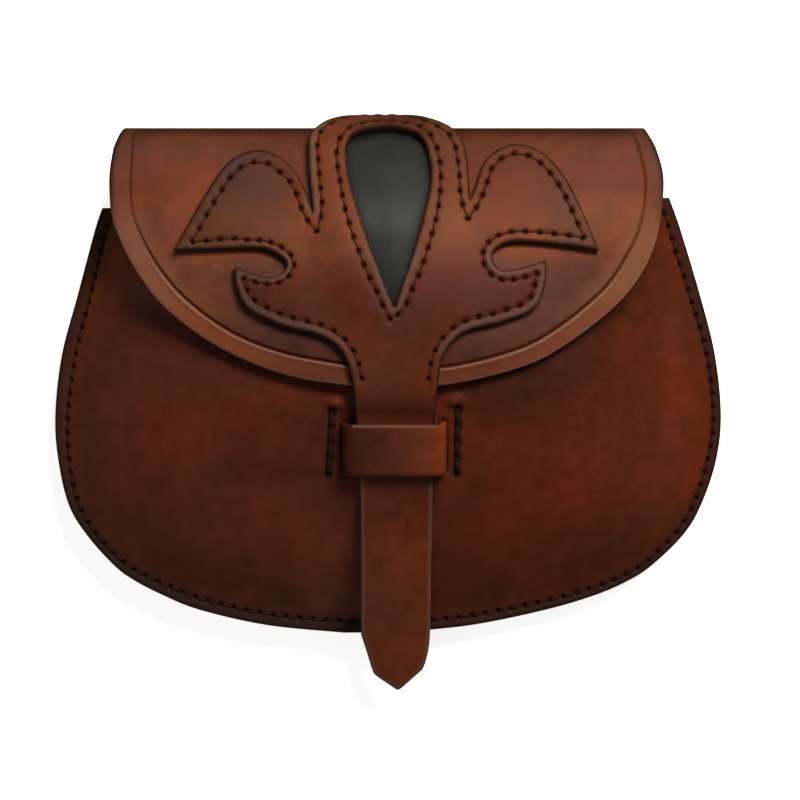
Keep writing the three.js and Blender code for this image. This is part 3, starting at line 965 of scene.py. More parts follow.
class Shader:
    """A material and its nodes."""

    def __init__(self, name):
        self.material = bpy.data.materials.new(name)
        self.material.use_nodes = True
        self.tree = self.material.node_tree
        self.surface = self.tree.nodes["Principled BSDF"]
        self.place = self.add("ShaderNodeTexCoord", {}, "Object")
        self.axes = self.add("ShaderNodeSeparateXYZ", {0: self.place}).node.outputs

    def add(self, kind, inputs, output=0, **settings):
        node = self.tree.nodes.new(kind)
        for label, value in settings.items():
            setattr(node, label, value)
        self.fill(node, inputs)
        return node.outputs[output]

    def fill(self, node, inputs):
        for label, value in inputs.items():
            if isinstance(value, bpy.types.NodeSocket):
                self.tree.links.new(value, node.inputs[label])
            else:
                node.inputs[label].default_value = value

    def noise(self, scale, detail, roughness, place=None):
        inputs = {"Vector": place or self.place, "Scale": scale, "Detail": detail, "Roughness": roughness}
        return self.add("ShaderNodeTexNoise", inputs)

    def streaks(self, scale, turn, detail, roughness):
        """Noise whose coordinates are turned first and stretched then."""
        inputs = {"Vector": self.place, "Scale": tuple(1 / s for s in scale), "Rotation": (0, 0, turn)}
        place = self.add("ShaderNodeMapping", inputs, vector_type="TEXTURE")
        return self.noise(1.0, detail, roughness, place)

    def attribute(self, label):
        return self.add("ShaderNodeAttribute", {}, "Fac", attribute_name=label)

    def spread(self, value, low, high, to_low, to_high, kind="SMOOTHSTEP"):
        """A number that goes over into another one while a value goes from low to high."""
        inputs = {"Value": value, "From Min": low, "From Max": high, "To Min": to_low, "To Max": to_high}
        return self.add("ShaderNodeMapRange", inputs, interpolation_type=kind)

    def range_of(self, noise, least, most, ends=NOISE_ENDS):
        """Noise as evenly spread numbers."""
        return self.spread(noise, *ends, least, most, "LINEAR")

    def math(self, operation, *values):
        return self.add("ShaderNodeMath", dict(enumerate(values)), operation=operation)

    def within(self, share, places):
        """A share that comes in and goes out between places."""
        for axis, *place in places:
            share = self.math("MULTIPLY", share, self.spread(self.axes[axis], *place))
        return share

    def ramp(self, value, colours, stops=NOISE_ENDS):
        """Colours that follow each other at the stops of a value."""
        node = self.tree.nodes.new("ShaderNodeValToRGB")
        elements = node.color_ramp.elements
        while len(elements) < len(stops):
            elements.new(0.5)
        for element, position, colour in zip(elements, stops, colours):
            element.position = position
            element.color = (*colour, 1)
        self.fill(node, {"Fac": value})
        return node.outputs["Color"]

    def mix(self, share, a, b, blend="MIX"):
        colours = {k: v if isinstance(v, bpy.types.NodeSocket) else (*v, 1) for k, v in ((6, a), (7, b))}
        return self.add("ShaderNodeMix", {0: share, **colours}, 2, data_type="RGBA", blend_type=blend)

    def multiply(self, colour, tint, share=1.0):
        return self.mix(share, colour, tint, "MULTIPLY")

    def bump(self, *layers):
        """Relief from layers of height, strength and distance, one over the other."""
        normal = None
        for height, strength, distance in layers:
            inputs = {"Height": height, "Strength": strength, "Distance": distance}
            if normal is not None:
                inputs["Normal"] = normal
            normal = self.add("ShaderNodeBump", inputs)
        return normal

    def finish(self, colour, rough, normal, gloss):
        self.fill(self.surface, {
            "Base Color": colour,
            "Roughness": rough,
            "Normal": normal,
            "Specular IOR Level": gloss,
        })
        return self.material


# Tones that all leathers share: burnish, the painted shade of pits and of the pressed line, and the painted
# highlight on the lip
BURNISH = (0.012, 0.005, 0.003)
PAINTED_PIT_SHADE = (0.011, 0.0035, 0.0016)
LINE_PAINTED_SHADE = (0.3, 0.13, 0.07)
LINE_ROUGH = 0.85
LIP_HIGHLIGHT_TONE = (0.27, 0.12, 0.075)

# Values of the noise at which the three tones of a dye lie, and raggedness of borders in millimetres
CLOUD_STOPS = (0.36, 0.5, 0.64)
RAGGED = 1.2

# Lying grain and scratches are noise, stretched by a scale and turned by an angle; scratches are lighter
LYING = ((130, 900, 130), 0.1)
SCRATCHES = (((60, 1100, 60), 0.35), ((70, 1000, 70), -0.9))
SCRATCH_LIGHTER = 1.5
SCRATCH_PALER = 0.02


def dye_and_painted_light(shader, tones, tints, patches):
    """Cloudy dye, then tints along the axes and patches, which paint broad light, shade and sheen as well as
    uneven tone.
    """
    clouds = shader.noise(scale=24, detail=5, roughness=0.6)
    colour = shader.ramp(clouds, tones, CLOUD_STOPS)
    for axis, start, end, first, last in tints:
        share = shader.spread(shader.axes[axis], start * METRES, end * METRES, 0.0, 1.0)
        colour = shader.multiply(colour, shader.mix(share, first, last))
    for tint, places in patches:
        colour = shader.multiply(colour, tint, shader.within(1.0, places))
    return colour


def worn(shader, colour, light, mottle, pores, lying):
    """Fine mottling, dark pores, lying grain and light scratches on a colour."""
    colour = shader.multiply(colour, shader.range_of(mottle, least=0.82, most=1.14))
    colour = shader.multiply(colour, shader.spread(pores, low=0.0, high=0.35, to_low=0.86, to_high=1.0))
    colour = shader.multiply(colour, shader.range_of(lying, least=0.96, most=1.035, ends=(0.34, 0.66)))
    lines = [shader.streaks(*scratch, detail=2, roughness=0.5) for scratch in SCRATCHES]
    line = shader.math("MAXIMUM", *lines)
    share = shader.spread(line, low=0.69, high=0.76, to_low=0.0, to_high=0.07)
    return shader.mix(share, colour, tuple(SCRATCH_LIGHTER * c + SCRATCH_PALER for c in light))


def bordered(shader, colour, mottle, borders):
    """Tones along the ragged edges of a colour: burnish, and on some leathers painted highlight, sheen and
    shade.
    """
    ragged = shader.math("MULTIPLY_ADD", mottle, RAGGED, -0.5 * RAGGED)
    near = shader.math("ADD", shader.attribute("edge"), ragged)
    for tone, full, none, strength, places in borders:
        share = shader.within(shader.spread(near, full, none, strength, 0.0), places)
        colour = shader.mix(share, colour, tone)
    return colour


def leather(name, tones, borders, tints=(), patches=(), gloss=0.3):
    """Smooth waxed leather with cloudy dye, pores, faint scratches and toned edges, and painted light and
    shade in its tints, patches, borders, pressed line, lip and pits.
    """
    shader = Shader(name)
    mottle = shader.noise(scale=210, detail=6, roughness=0.65)
    wrinkle = shader.noise(scale=320, detail=3, roughness=0.5)
    grain = shader.noise(scale=1500, detail=4, roughness=0.6)
    pores = shader.add("ShaderNodeTexVoronoi", {"Vector": shader.place, "Scale": 1150.0})
    lying = shader.streaks(*LYING, detail=4, roughness=0.6)
    line = shader.attribute("line")
    colour = dye_and_painted_light(shader, tones, tints, patches)
    colour = worn(shader, colour, tones[-1], mottle, pores, lying)
    colour = bordered(shader, colour, mottle, borders)
    # Painted shade along the pressed line, and a painted highlight on the lip beside it
    colour = shader.multiply(colour, LINE_PAINTED_SHADE, line)
    colour = shader.mix(shader.attribute("lip"), colour, LIP_HIGHLIGHT_TONE)
    # Painted shade in the stitch holes and trenches, and along the keeper's lower edge
    colour = shader.mix(shader.attribute("painted_shade"), colour, PAINTED_PIT_SHADE)
    rough = shader.range_of(mottle, least=0.34, most=0.48)
    rough = shader.math("MAXIMUM", rough, shader.math("MULTIPLY", line, LINE_ROUGH))
    normal = shader.bump(
        (wrinkle, 0.12, 0.00025), (lying, 0.12, 0.0002), (pores, 0.1, 0.00012), (grain, 0.1, 0.00012))
    return shader.finish(colour, rough, normal, gloss)


def suede(name, dark, light):
    """The rough inner side of the leather."""
    shader = Shader(name)
    fluff = shader.noise(scale=700, detail=6, roughness=0.7)
    fibres = shader.noise(scale=2200, detail=4, roughness=0.7)
    colour = shader.ramp(fluff, (dark, light))
    rough = shader.range_of(fluff, least=0.85, most=0.98, ends=(0.2, 0.8))
    return shader.finish(colour, rough, shader.bump((fibres, 0.5, 0.0003)), gloss=0.2)


def waxed_thread(name, dark, light, gloss):
    """Waxed sewing thread with a fine twist, with painted shade where it goes into a hole."""
    shader = Shader(name)
    fibre = shader.noise(scale=2600, detail=3, roughness=0.6)
    colour = shader.ramp(fibre, (dark, light))
    colour = shader.mix(shader.attribute("painted_shade"), colour, PAINTED_PIT_SHADE)
    rough = shader.range_of(fibre, least=0.45, most=0.65)
    return shader.finish(colour, rough, shader.bump((fibre, 0.4, 0.0002)), gloss)


PAPER_TONES = ((0.86, 0.86, 0.86), (0.89, 0.89, 0.89))
PAPER_GLOW = 0.75


def floor_paper(name):
    """White paper that stays bright in the shade."""
    shader = Shader(name)
    fibre = shader.noise(scale=500, detail=4, roughness=0.6)
    shader.fill(shader.surface, {
        "Base Color": shader.ramp(fibre, PAPER_TONES),
        "Roughness": shader.range_of(fibre, least=0.85, most=0.95),
        "Specular IOR Level": 0.0,
        "Emission Color": (1, 1, 1, 1),
        "Emission Strength": PAPER_GLOW,
    })
    return shader.material


# Places between which a border or a patch comes in or goes out
def rising(axis, start, end, least=0.0):
    return axis, start * METRES, end * METRES, least, 1.0


def falling(axis, start, end, least=0.0):
    return axis, start * METRES, end * METRES, 1.0, least


# Leathers; tones of the dye: dark, middle and light
# Borders: tone, distance from the edge to which it is full, distance at which it ends, strength, places
# Tints: axis, from, to, colour at the first, colour at the second; patches: tint, places
PLAIN = (1.0, 1.0, 1.0)
# Painted highlight on the rounded edges of the overlay and strap
RIM_HIGHLIGHT = (0.085, 0.05, 0.034)
STRAP_TONES = ((0.059, 0.0175, 0.0082), (0.08, 0.018, 0.0054), (0.11, 0.0218, 0.0042))

BODY_LEATHER = leather(
    "body_leather",
    tones=((0.051, 0.0122, 0.0046), (0.067, 0.0124, 0.0034), (0.086, 0.0134, 0.0027)),
    borders=[
        ((0.021, 0.008, 0.005), 2.0, 5.0, 0.75, []),
        # Darker lower margin: partly burnish, partly painted shade where less light falls
        ((0.017, 0.0085, 0.0055), 1.5, 9.0, 0.8, [falling(Y, -45, -12), falling(X, -30, 30, 0.4)]),
        (BURNISH, 0.1, 1.5, 0.85, []),
    ],
    tints=[
        (X, -30, 50, (0.93, 1.0, 1.3), (0.86, 0.82, 0.85)),
        (X, 70, 95, PLAIN, (1.1, 1.05, 0.95)),
        # Painted shade towards the bottom, which faces away from the lamps
        (Y, -56, -36, (0.82, 0.9, 0.8), PLAIN),
    ],
    patches=[
        ((0.7, 0.77, 0.92), [rising(X, 20, 50), falling(X, 82, 92, 0.2), rising(Y, -14, 4)]),
        # Painted shadow under the flap's right edge
        ((0.65, 0.85, 1.05), [rising(X, 16, 26), falling(X, 42, 54), rising(Y, -14, -2)]),
        # Painted light that lifts the shadow under the flap's left edge
        ((1.6, 2.0, 1.7), [falling(X, -75, -60), rising(Y, 24, 36)]),
        # Painted shade on the left side, which turns from the lamp
        ((0.7, 0.88, 1.1), [falling(X, -85, -70), rising(Y, -4, 6), falling(Y, 18, 26)]),
        ((1.35, 1.15, 1.0),
         [rising(X, 35, 48), falling(X, 60, 72), rising(Y, -42, -30), falling(Y, -18, -8)]),
        ((0.7, 0.95, 1.12), [falling(X, -96, -83), falling(Y, -6, 4)]),
        ((0.8, 0.93, 1.12), [rising(X, 40, 60), falling(Y, -38, -26)]),
        ((0.78, 0.76, 0.82),
         [rising(X, -58, -45), falling(X, -16, -8), rising(Y, -30, -20), falling(Y, -6, 4)]),
        # Painted light that lifts the strap's shadow on the body
        ((1.35, 1.3, 1.1), [rising(X, -34, -22), falling(X, 0, 5), falling(Y, -45, -35)]),
    ],
    gloss=0.2,
)
FLAP_LEATHER = leather(
    "flap_leather",
    tones=((0.072, 0.02, 0.009), (0.1, 0.0233, 0.0076), (0.131, 0.0284, 0.0068)),
    borders=[
        # Lighter lower margin: painted light where the margin curls up toward the lamp
        ((0.15, 0.037, 0.0145), 4.0, 7.0, 0.65,
         [falling(Y, 30, 58), rising(Y, 6, 20, 0.4), falling(X, 0, 50, 0.6)]),
        # Painted sheen on the margin halfway up
        ((0.15, 0.06, 0.031), 5.0, 13.0, 0.55, [rising(Y, 22, 38), falling(Y, 50, 66)]),
        # Darker upper margin: partly burnish, partly painted shade where it turns from the lamp
        ((0.056, 0.0165, 0.0085), 2.5, 7.0, 0.6, [rising(Y, 50, 70)]),
        # Painted highlight on the rounded lower edge
        ((0.2, 0.115, 0.075), 0.2, 1.1, 0.22, [falling(Y, 45, 62)]),
        (BURNISH, 0.5, 2.3, 0.8, [rising(Y, 50, 70)]),
    ],
    tints=[
        (X, -60, -30, PLAIN, (0.74, 0.8, 0.92)),
        (X, 30, 60, PLAIN, (1.28, 1.2, 1.1)),
        # Painted shade on the flap's lower part
        (Y, 8, 27, (0.62, 0.55, 0.5), PLAIN),
        # Painted sheen across the middle of the flap
        (Y, 36, 52, (0.92, 1.1, 1.4), (1.3, 1.2, 1.2)),
        (Y, 58, 69, PLAIN, (0.78, 0.72, 0.62)),
        (Y, 50, 80, PLAIN, (0.92, 0.86, 0.8)),
        # Darker crest of the fold: partly burnish, partly painted shade where the fold turns away
        (Y, 81.2, 85, PLAIN, (0.42, 0.44, 0.46)),
    ],
    patches=[
        # Painted sheen on the flap's left side
        ((0.87, 1.0, 1.28), [falling(X, -35, -20), rising(Y, 34, 40), falling(Y, 52, 60)]),
        # Painted sheen on the flap's right side
        ((1.12, 1.22, 1.1), [rising(X, 45, 55), rising(Y, 42, 50), falling(Y, 62, 70)]),
        ((1.08, 1.0, 0.8), [rising(Y, 58, 64), falling(Y, 70, 76)]),
        ((0.88, 1.15, 1.4), [rising(Y, 72, 80)]),
    ],
)
STRAP_LEATHER = leather(
    "strap_leather",
    tones=STRAP_TONES,
    borders=[
        (RIM_HIGHLIGHT, 1.3, 3.0, 0.4, [falling(Y, 43, 52), rising(Y, 8, 20)]),
        (RIM_HIGHLIGHT, 1.3, 3.0, 0.5, [rising(Y, 52, 62), rising(X, -27, -25.5), falling(X, -21.5, -19)]),
        (RIM_HIGHLIGHT, 0.6, 1.7, 0.5, [falling(Y, -26, -18)]),
        (BURNISH, 0.1, 1.4, 0.85, [rising(Y, -26, -18, 0.3)]),
    ],
    tints=[
        (X, -50, -22, (0.6, 0.75, 1.0), (0.95, 0.94, 1.02)),
        (X, -20, 20, PLAIN, (0.83, 0.8, 0.77)),
        (X, 30, 50, PLAIN, (1.3, 1.25, 1.25)),
        (Y, 12, 28, PLAIN, (0.86, 0.72, 0.62)),
        # This tint and the next paint a band of sheen across the overlay
        (Y, 34, 50, PLAIN, (1.35, 1.85, 2.2)),
        (Y, 54, 68, PLAIN, (0.78, 0.72, 0.7)),
    ],
    patches=[
        # Painted sheen beside the top of the window
        ((1.2, 1.4, 1.45), [rising(X, 10, 14), falling(X, 22, 30), rising(Y, 46, 54)]),
        ((0.95, 0.82, 0.76), [rising(X, -24, -12), rising(Y, 22, 30), falling(Y, 40, 48)]),
        ((0.86, 0.8, 0.86), [rising(Y, -46, -40), falling(Y, 0, 10)]),
    ],
)
KEEPER_SKIN = leather(
    "keeper_leather",
    tones=STRAP_TONES,
    # Paler edge tone, kept only on the upper edge over the strap: partly a paler raw edge, mostly painted
    # highlight
    borders=[((0.085, 0.037, 0.024), 0.1, 1.5, 0.9, [])],
    # Painted shade on the keeper's left end and painted light on its right end, which faces the lamp
    tints=[(X, -16, 16, (0.43, 0.38, 0.5), (1.28, 0.98, 0.86))],
)
INLAY_SKIN = leather(
    "inlay_leather",
    tones=((0.0098, 0.0107, 0.0076), (0.0125, 0.0132, 0.0094), (0.0152, 0.016, 0.0113)),
    # The first border is the painted shadow of the overlay's rim around the window
    borders=[((0.0015, 0.002, 0.0016), 4.0, 8.0, 0.75, []), (BURNISH, 0.1, 1.5, 0.8, [])],
    tints=[(Y, 36, 52, (0.72, 0.68, 0.58), PLAIN)],
    # Painted sheen in a band across the inlay
    patches=[((1.88, 1.86, 1.85), [rising(Y, 49.5, 55.5), falling(Y, 56.5, 67.5)])],
)

# Inner side and threads
SUEDE = suede("leather_inside", (0.085, 0.037, 0.017), (0.155, 0.074, 0.036))
THREAD = waxed_thread("waxed_thread", (0.028, 0.0068, 0.0032), (0.055, 0.013, 0.0058), gloss=0.12)
SEAM_THREAD = waxed_thread("seam_thread", (0.012, 0.0045, 0.0026), (0.028, 0.009, 0.0048), gloss=0.1)
DARK_THREAD = waxed_thread("dark_thread", (0.006, 0.0038, 0.0022), (0.018, 0.009, 0.005), gloss=0.05)


def belongs(piece, node=None):
    """Every piece moves with the one body; most stand for a node of the frame."""
    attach(piece, "root")
    if node:
        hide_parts(node)


# Front panel
def keeper_slope():
    _, slope = slopes(BELLY_GRID, KEEPER_X, KEEPER_Y)
    return math.atan(slope)


def slit(side):
    """Outline of one slit in the front panel."""
    half_x = 0.5 * KEEPER_LEATHER + SLIT_CLEAR
    half_y = (0.5 * KEEPER_WIDTH + SLIT_CLEAR) * math.cos(keeper_slope())
    middle = np.array([KEEPER_X + side * KEEPER_HALF, KEEPER_Y])
    corners = [(-half_x, -half_y), (half_x, -half_y), (half_x, half_y), (-half_x, half_y)]
    return even(closed(np.array(corners)) + middle, FINE_STEP)[:-1]


def seam_holes():
    """Stitch holes along the sides and the bottom of the body, in plan."""
    left, right = both_sides(BODY_SECTIONS, ROW_STEP)
    lines = []
    for side, column in ((left[::-1], 1), (right, 2)):
        inset = np.interp(side[:, 1], SEAM_INSETS[:, 0], SEAM_INSETS[:, column])
        lines.append(side + inset[:, None] * normals_of(side))
    line = np.vstack(lines)
    from_low = np.arange(len(line)) - line[:, 1].argmin()
    weights = np.ones(SEAM_SMOOTHING) / SEAM_SMOOTHING
    smooth = np.apply_along_axis(smoothed, 0, line, weights)
    blend = bell(from_low, SEAM_BLEND)[:, None]
    return even(line * (1 - blend) + smooth * blend, SEAM_PITCH)


def pucker_middles(tails):
    across, up = PUCKER_OFF
    return [line[0] + (side * across, up) for line, side in zip(tails, (1, -1))]


def pucker_points(tails):
    """Points that let the puckers show in the mesh."""
    half = PUCKER_REACH * np.array(PUCKER_HALF)
    boxes = [np.array([middle - half, middle + half]) for middle in pucker_middles(tails)]
    return [hex_points(box, PUCKER_CELL) for box in boxes]


def pucker(points, tails):
    """Leather raised beside the upper ends of the tail stitches."""
    raised = np.zeros(len(points))
    for middle in pucker_middles(tails):
        away = np.linalg.norm((points - middle) / PUCKER_HALF, axis=1)
        raised += PUCKER_HEIGHT * bell(away, 1)
    return raised


def make_front_panel():
    left, right = both_sides(BODY_SECTIONS, STEP)
    mouth = straight(left[-1], right[-1], STEP)
    outline = np.vstack([left, mouth[1:-1], right[::-1]])[::-1]
    seam = seam_holes()
    tails = [straight(start, end, PITCH) for start, end in TAIL_ROWS]
    stitch_lines = [(seam, 1), *[(line, TAIL_SCALE) for line in tails]]
    sheet = Sheet(outline, BODY_CELL, [], [slit(-1), slit(1)], stitch_lines, pucker_points(tails))
    puckers = pucker(sheet.points, tails)
    panel = sheet.piece("front_leather", on_belly, -LEATHER, puckers, [BODY_LEATHER, SUEDE])
    belongs(panel, "front_panel")
    belongs(thread_piece("front_stitches", [seam], on_belly, SEAM_THREAD))
    tail_thread = thread_piece(
        "keeper_stitches", tails, on_belly, DARK_THREAD, TAIL_THREAD_RADIUS, TAIL_THREAD_SINK)
    belongs(tail_thread)


# Back panel, fold and flap
def back_flap_side(column, body_column):
    """One side of the unrolled leather from the flap's lower edge to the bottom of the back."""
    flap = FLAP_SECTIONS[:, (column, 0)]
    fold = np.column_stack([FOLD_SECTIONS[:, column], fold_length(np.radians(FOLD_SECTIONS[:, 0]))])
    body = BODY_SECTIONS[::-1, body_column:body_column + 2]
    back = np.column_stack([body[:, 0], back_length(body[:, 1])])
    shoulder = [(fold[-1, 0], back[0, 1] - SHOULDER_STEP)]
    points = np.vstack([flap, fold, shoulder, back])
    neck = len(flap) + len(fold)
    return joined(stretches(points, [neck, neck + 1], STEP))


def crease_inset(points):
    inset = np.interp(points[:, 0], CREASE_INSETS[:, 0], CREASE_INSETS[:, 1])
    return inset * (1 - CREASE_CLOSER * rise(points[:, 1], *CREASE_CLOSER_S))


def crease_line(left, right):
    """The pressed line inside the edge of the flap, from the fold round to the fold."""
    crest = fold_length(CREASE_TOP)
    edge = np.vstack([left[left[:, 1] < crest][::-1], right[right[:, 1] < crest]])
    inset = crease_inset(edge)
    line = edge + inset[:, None] * normals_of(edge)
    keep = distance_to(edge, line) > BESIDE_KEEP * inset
    return even(line[keep], ROW_STEP)


def ridge(off_crease, up, strength, middle, half, fade_start, fade_end):
    """A ridge beside the pressed line that fades towards the fold."""
    return strength * bell(off_crease - middle, half) * fall(up, fade_start, fade_end)


def crease_relief(sheet, off_crease):
    """The pressed line, the lip beside it and the margin that curls up to the edge, with marks for the
    painted shade in the line and the painted highlight on the lip.
    """
    up = sheet.points[:, 1]
    inset = crease_inset(sheet.points)
    outside = (sheet.edge < inset) & (up < fold_length(0.5 * math.pi))
    curl = outside * MARGIN_CURL * np.clip(off_crease / inset, 0, 1)
    curl *= fall(up, FOLD_Y - MARGIN_CURL_FADE, FOLD_Y)
    lip = outside * ridge(off_crease, up, *LIP)
    fade = fold_length(CREASE_FADE)
    below = fall(up, fade, fade + CREASE_FADE_LENGTH)
    pressed = CREASE_DEPTH * np.clip(1 - off_crease / CREASE_HALF, 0, 1) * below
    pressed *= 1 - CREASE_WEAKER * rise(up, *CREASE_WEAKER_S)
    light = outside * ridge(off_crease, up, *LIP_LIGHT)
    line = bell(off_crease, LINE_HALF) * below * (1 - LINE_PALER * rise(up, *LINE_PALER_S))
    return curl + lip - pressed, {"line": line, "lip": light}


def make_back_flap():
    left = back_flap_side(1, 0)
    right = back_flap_side(2, 2)
    bottom = straight(left[-1], right[-1], STEP)
    lower = straight(right[0], left[0], STEP)
    outline = np.vstack([left, bottom[1:-1], right[::-1], lower[1:-1]])[::-1]
    crease = crease_line(left, right)
    offsets = [*[-d for d in reversed(CREASE_BESIDE)], 0, *CREASE_BESIDE]
    beside = [crease + d * normals_of(crease) for d in offsets]
    seam = seam_holes()
    seam[:, 1] = back_length(seam[:, 1])
    sheet = Sheet(outline, BODY_CELL, stitch_lines=[(seam, 1)], extra=beside)
    top, marks = crease_relief(sheet, distance_to(crease, sheet.points))
    panel = sheet.piece("back_and_flap_leather", on_flap, top - LEATHER, top, [FLAP_LEATHER, SUEDE], marks)
    belongs(panel, "back_flap")
    belongs(thread_piece("back_stitches", [seam], on_flap, SEAM_THREAD))


# Overlay with strap, and the inlay in its window
def window_loop(spacing):
    left, right = both_sides(WINDOW_SIDES, spacing)
    return np.vstack([left, right[::-1]])


def overlay_bottom(flat):
    """Height of the overlay's lower side: the inlay lifts it around the window."""
    loop = window_loop(BROAD_STEP)
    away = np.where(inside(loop, flat), 0, distance_to(closed(loop), flat))
    return GAP + fall(away, INLAY_MARGIN, INLAY_MARGIN + INLAY_EASE) * (INLAY_LEATHER + GAP)


def overlay_top(flat):
    return overlay_bottom(flat) + OVERLAY_LEATHER


def outer_row(left, right, outline):
    """Stitch holes inside the outer edge of the overlay, from the strap up over the arch and down again."""
    arch = straight(left[0][0], right[0][0], FINE_STEP)
    top = joined([left[0][::-1], arch, right[0]])
    climbing = [part[::-1] for part in left[1:]][::-1]
    line = inset_line([*climbing, top, *right[1:]], outline, -1, outer_inset)
    return holes_along([part[part[:, 1] > STITCH_END_Y] for part in line], outer_pitch)


def inner_row():
    """Stitch holes around the window, from its point up over its round top and down again."""
    left, right = both_sides(WINDOW_SIDES, WINDOW_STEP)
    around = joined([left[::-1], right])
    line = inset_line([around], window_loop(WINDOW_STEP), 1, window_inset)[0]
    first, last = WINDOW_ROW_ENDS
    return even(np.vstack([first, line, last]), PITCH)


def make_overlay():
    corners = np.flatnonzero(OVERLAY_SIDES[:, 4])
    left, right = [stretches(OVERLAY_SIDES[:, k:k + 2], corners, FINE_STEP) for k in (0, 2)]
    arch = straight(right[0][0], left[0][0], FINE_STEP)
    tip = straight(left[-1][-1], right[-1][-1], FINE_STEP)
    outline = np.vstack([joined(left), tip[1:-1], joined(right)[::-1], arch[1:-1]])
    rows = [outer_row(left, right, outline), inner_row()]
    sheet = Sheet(outline, OVERLAY_CELL, [window_loop(WINDOW_STEP)], stitch_lines=[(row, 1) for row in rows])
    bottom = overlay_bottom(sheet.points)
    top = overlay_top(sheet.points)
    piece = sheet.piece("overlay_leather", on_strap, bottom, top, [STRAP_LEATHER, SUEDE])
    belongs(piece, "flap_overlay")
    belongs(thread_piece("overlay_stitches", rows, on_strap, THREAD, top=overlay_top))


def make_inlay():
    loop = window_loop(INLAY_STEP)
    sheet = Sheet(loop - INLAY_OVERLAP * loop_normals(loop), INLAY_CELL)
    bottom = GAP + INLAY_DOME * rise(sheet.edge, INLAY_MARGIN, INLAY_MARGIN + INLAY_DOME_EASE)
    piece = sheet.piece("inlay_leather", on_flap, bottom, bottom + INLAY_LEATHER, [INLAY_SKIN, SUEDE])
    belongs(piece, "window_inlay")


# Keeper
def keeper_painted_light(along, across, edge):
    """A painted highlight on the upper edge where the keeper crosses the strap, and painted shade along its
    lower edge.
    """
    crossing = (across > 0) & (np.abs(along) < KEEPER_CROSSING)
    light = np.where(crossing, KEEPER_HIGHLIGHT_NARROWER * edge, NO_EDGE)
    dark = np.where(across < 0, KEEPER_PAINTED_SHADE * bell(edge, KEEPER_PAINTED_SHADE_HALF), 0)
    return light, dark


def make_keeper():
    over = GAP + OVERLAY_LEATHER + KEEPER_CLEAR + 0.5 * KEEPER_LEATHER
    under = -LEATHER - TAIL_CLEAR - 0.5 * KEEPER_LEATHER
    right = [(KEEPER_HALF, over), (KEEPER_HALF, under), (KEEPER_HALF + KEEPER_TAIL, under)]
    left = [(-x, z) for x, z in reversed(right)]
    line = rounded_line(left + right, KEEPER_BEND)
    lean = keeper_slope()
    axes = np.array([
        (1, 0, 0),
        (0, -math.sin(lean), math.cos(lean)),
        (0, math.cos(lean), math.sin(lean)),
    ])
    origin = np.array([KEEPER_X, KEEPER_Y, read(BELLY_GRID, KEEPER_X, KEEPER_Y)])
    piece = band_piece(
        "keeper_band", line, KEEPER_WIDTH, KEEPER_LEATHER, axes, origin, KEEPER_SKIN, keeper_painted_light)
    belongs(piece, "keeper_loop")


# Belt loops
LOOP_HIGH_END = LOOP_TOP + LOOP_RISE + LOOP_TAB
LOOP_LOW_END = LOOP_BOTTOM - LOOP_RISE - LOOP_TAB


def make_belt_loop(name, side):
    level = BACK_Z - GAP - 0.5 * LEATHER
    line = rounded_line([
        (LOOP_HIGH_END, level),
        (LOOP_TOP + LOOP_RISE, level),
        (LOOP_TOP, 0.5 * LEATHER),
        (LOOP_BOTTOM, 0.5 * LEATHER),
        (LOOP_BOTTOM - LOOP_RISE, level),
        (LOOP_LOW_END, level),
    ], LOOP_BEND)
    axes = np.array([(0, 1, 0), (0, 0, 1), (1, 0, 0)], float)
    origin = np.array([side * LOOP_X, 0, 0])
    piece = band_piece(name + "_band", line, LOOP_WIDTH, LEATHER, axes, origin, BODY_LEATHER)
    belongs(piece, name)


def on_tabs(flat, distance):
    return np.column_stack([flat, TAB_Z - distance])


def make_tab_stitches():
    """Rows of stitches across the sewn-down ends of both belt loops."""
    half = 0.5 * LOOP_WIDTH - TAB_SIDE_INSET
    levels = [LOOP_HIGH_END - row for row in TAB_ROWS] + [LOOP_LOW_END + row for row in TAB_ROWS]
    lines = []
    for middle in (-LOOP_X, LOOP_X):
        lines += [straight((middle - half, y), (middle + half, y), PITCH) for y in levels]
    thread = thread_piece("belt_loop_stitches", lines, on_tabs, SEAM_THREAD, sink=TAB_THREAD_SINK)
    belongs(thread)


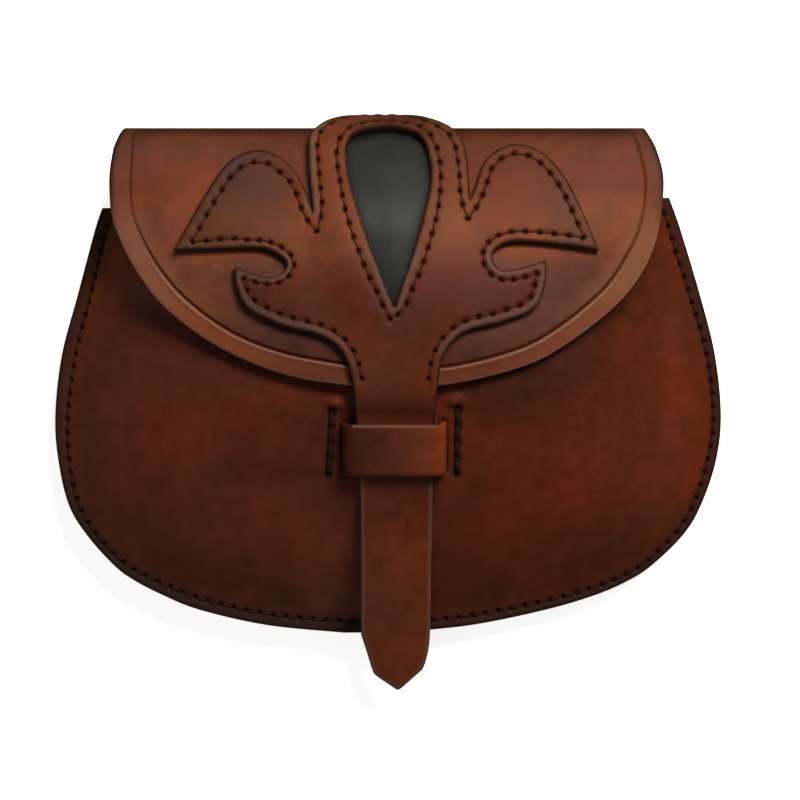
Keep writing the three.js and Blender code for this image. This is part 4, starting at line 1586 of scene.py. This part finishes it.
make_front_panel()
make_back_flap()
make_overlay()
make_inlay()
make_keeper()
make_belt_loop("belt_loop_left", -1)
make_belt_loop("belt_loop_right", 1)
make_tab_stitches()

# Floor, in millimetres
FLOOR_HALF = 2000
FLOOR_Z = -0.2

# Lights and camera, in metres
AIM = (0, 0, 0.03)
WORLD_STRENGTH = 0.11
CAMERA_PLACE = (0.00375, 0.00031, 1.53)
CAMERA_SENSOR = 36
CAMERA_LENS = 216

# Lights: name, place, size, power, lights surfaces, shows in glossy surfaces
LIGHTS = (
    ("key", (0.58, 0.95, 1.2), (0.8, 0.6), 53, True, False),
    ("fill", (-0.5, -0.9, 0.9), (1.0, 1.0), 4, True, False),
    ("sheen", (0.3, 1.05, 1.2), (1.0, 0.3), 4.2, False, True),
)


def make_floor():
    corners = [(x * FLOOR_HALF, y * FLOOR_HALF, FLOOR_Z) for x, y in ((-1, -1), (1, -1), (1, 1), (-1, 1))]
    floor = build("floor", np.array(corners), [(0, 1, 2, 3)], [floor_paper("floor_paper")], {})
    floor.visible_glossy = False


def make_light(name, place, size, power, diffuse, glossy):
    data = bpy.data.lights.new(name, "AREA")
    data.shape = "RECTANGLE"
    data.size, data.size_y = size
    data.energy = power
    light = linked(name, data)
    light.visible_diffuse = diffuse
    light.visible_glossy = glossy
    light.location = place
    light.rotation_euler = (Vector(AIM) - Vector(place)).to_track_quat("-Z", "Y").to_euler()


def make_world():
    world = bpy.data.worlds.new("studio")
    world.use_nodes = True
    background = world.node_tree.nodes["Background"]
    background.inputs["Color"].default_value = (1, 1, 1, 1)
    background.inputs["Strength"].default_value = WORLD_STRENGTH
    world.cycles_visibility.glossy = False
    bpy.context.scene.world = world


def make_camera():
    data = bpy.data.cameras.new("camera")
    data.sensor_width = CAMERA_SENSOR
    data.lens = CAMERA_LENS
    camera = linked("camera", data)
    camera.location = CAMERA_PLACE
    bpy.context.scene.camera = camera


make_floor()
for row in LIGHTS:
    make_light(*row)
make_world()
make_camera()
bpy.context.scene.view_settings.view_transform = "Standard"
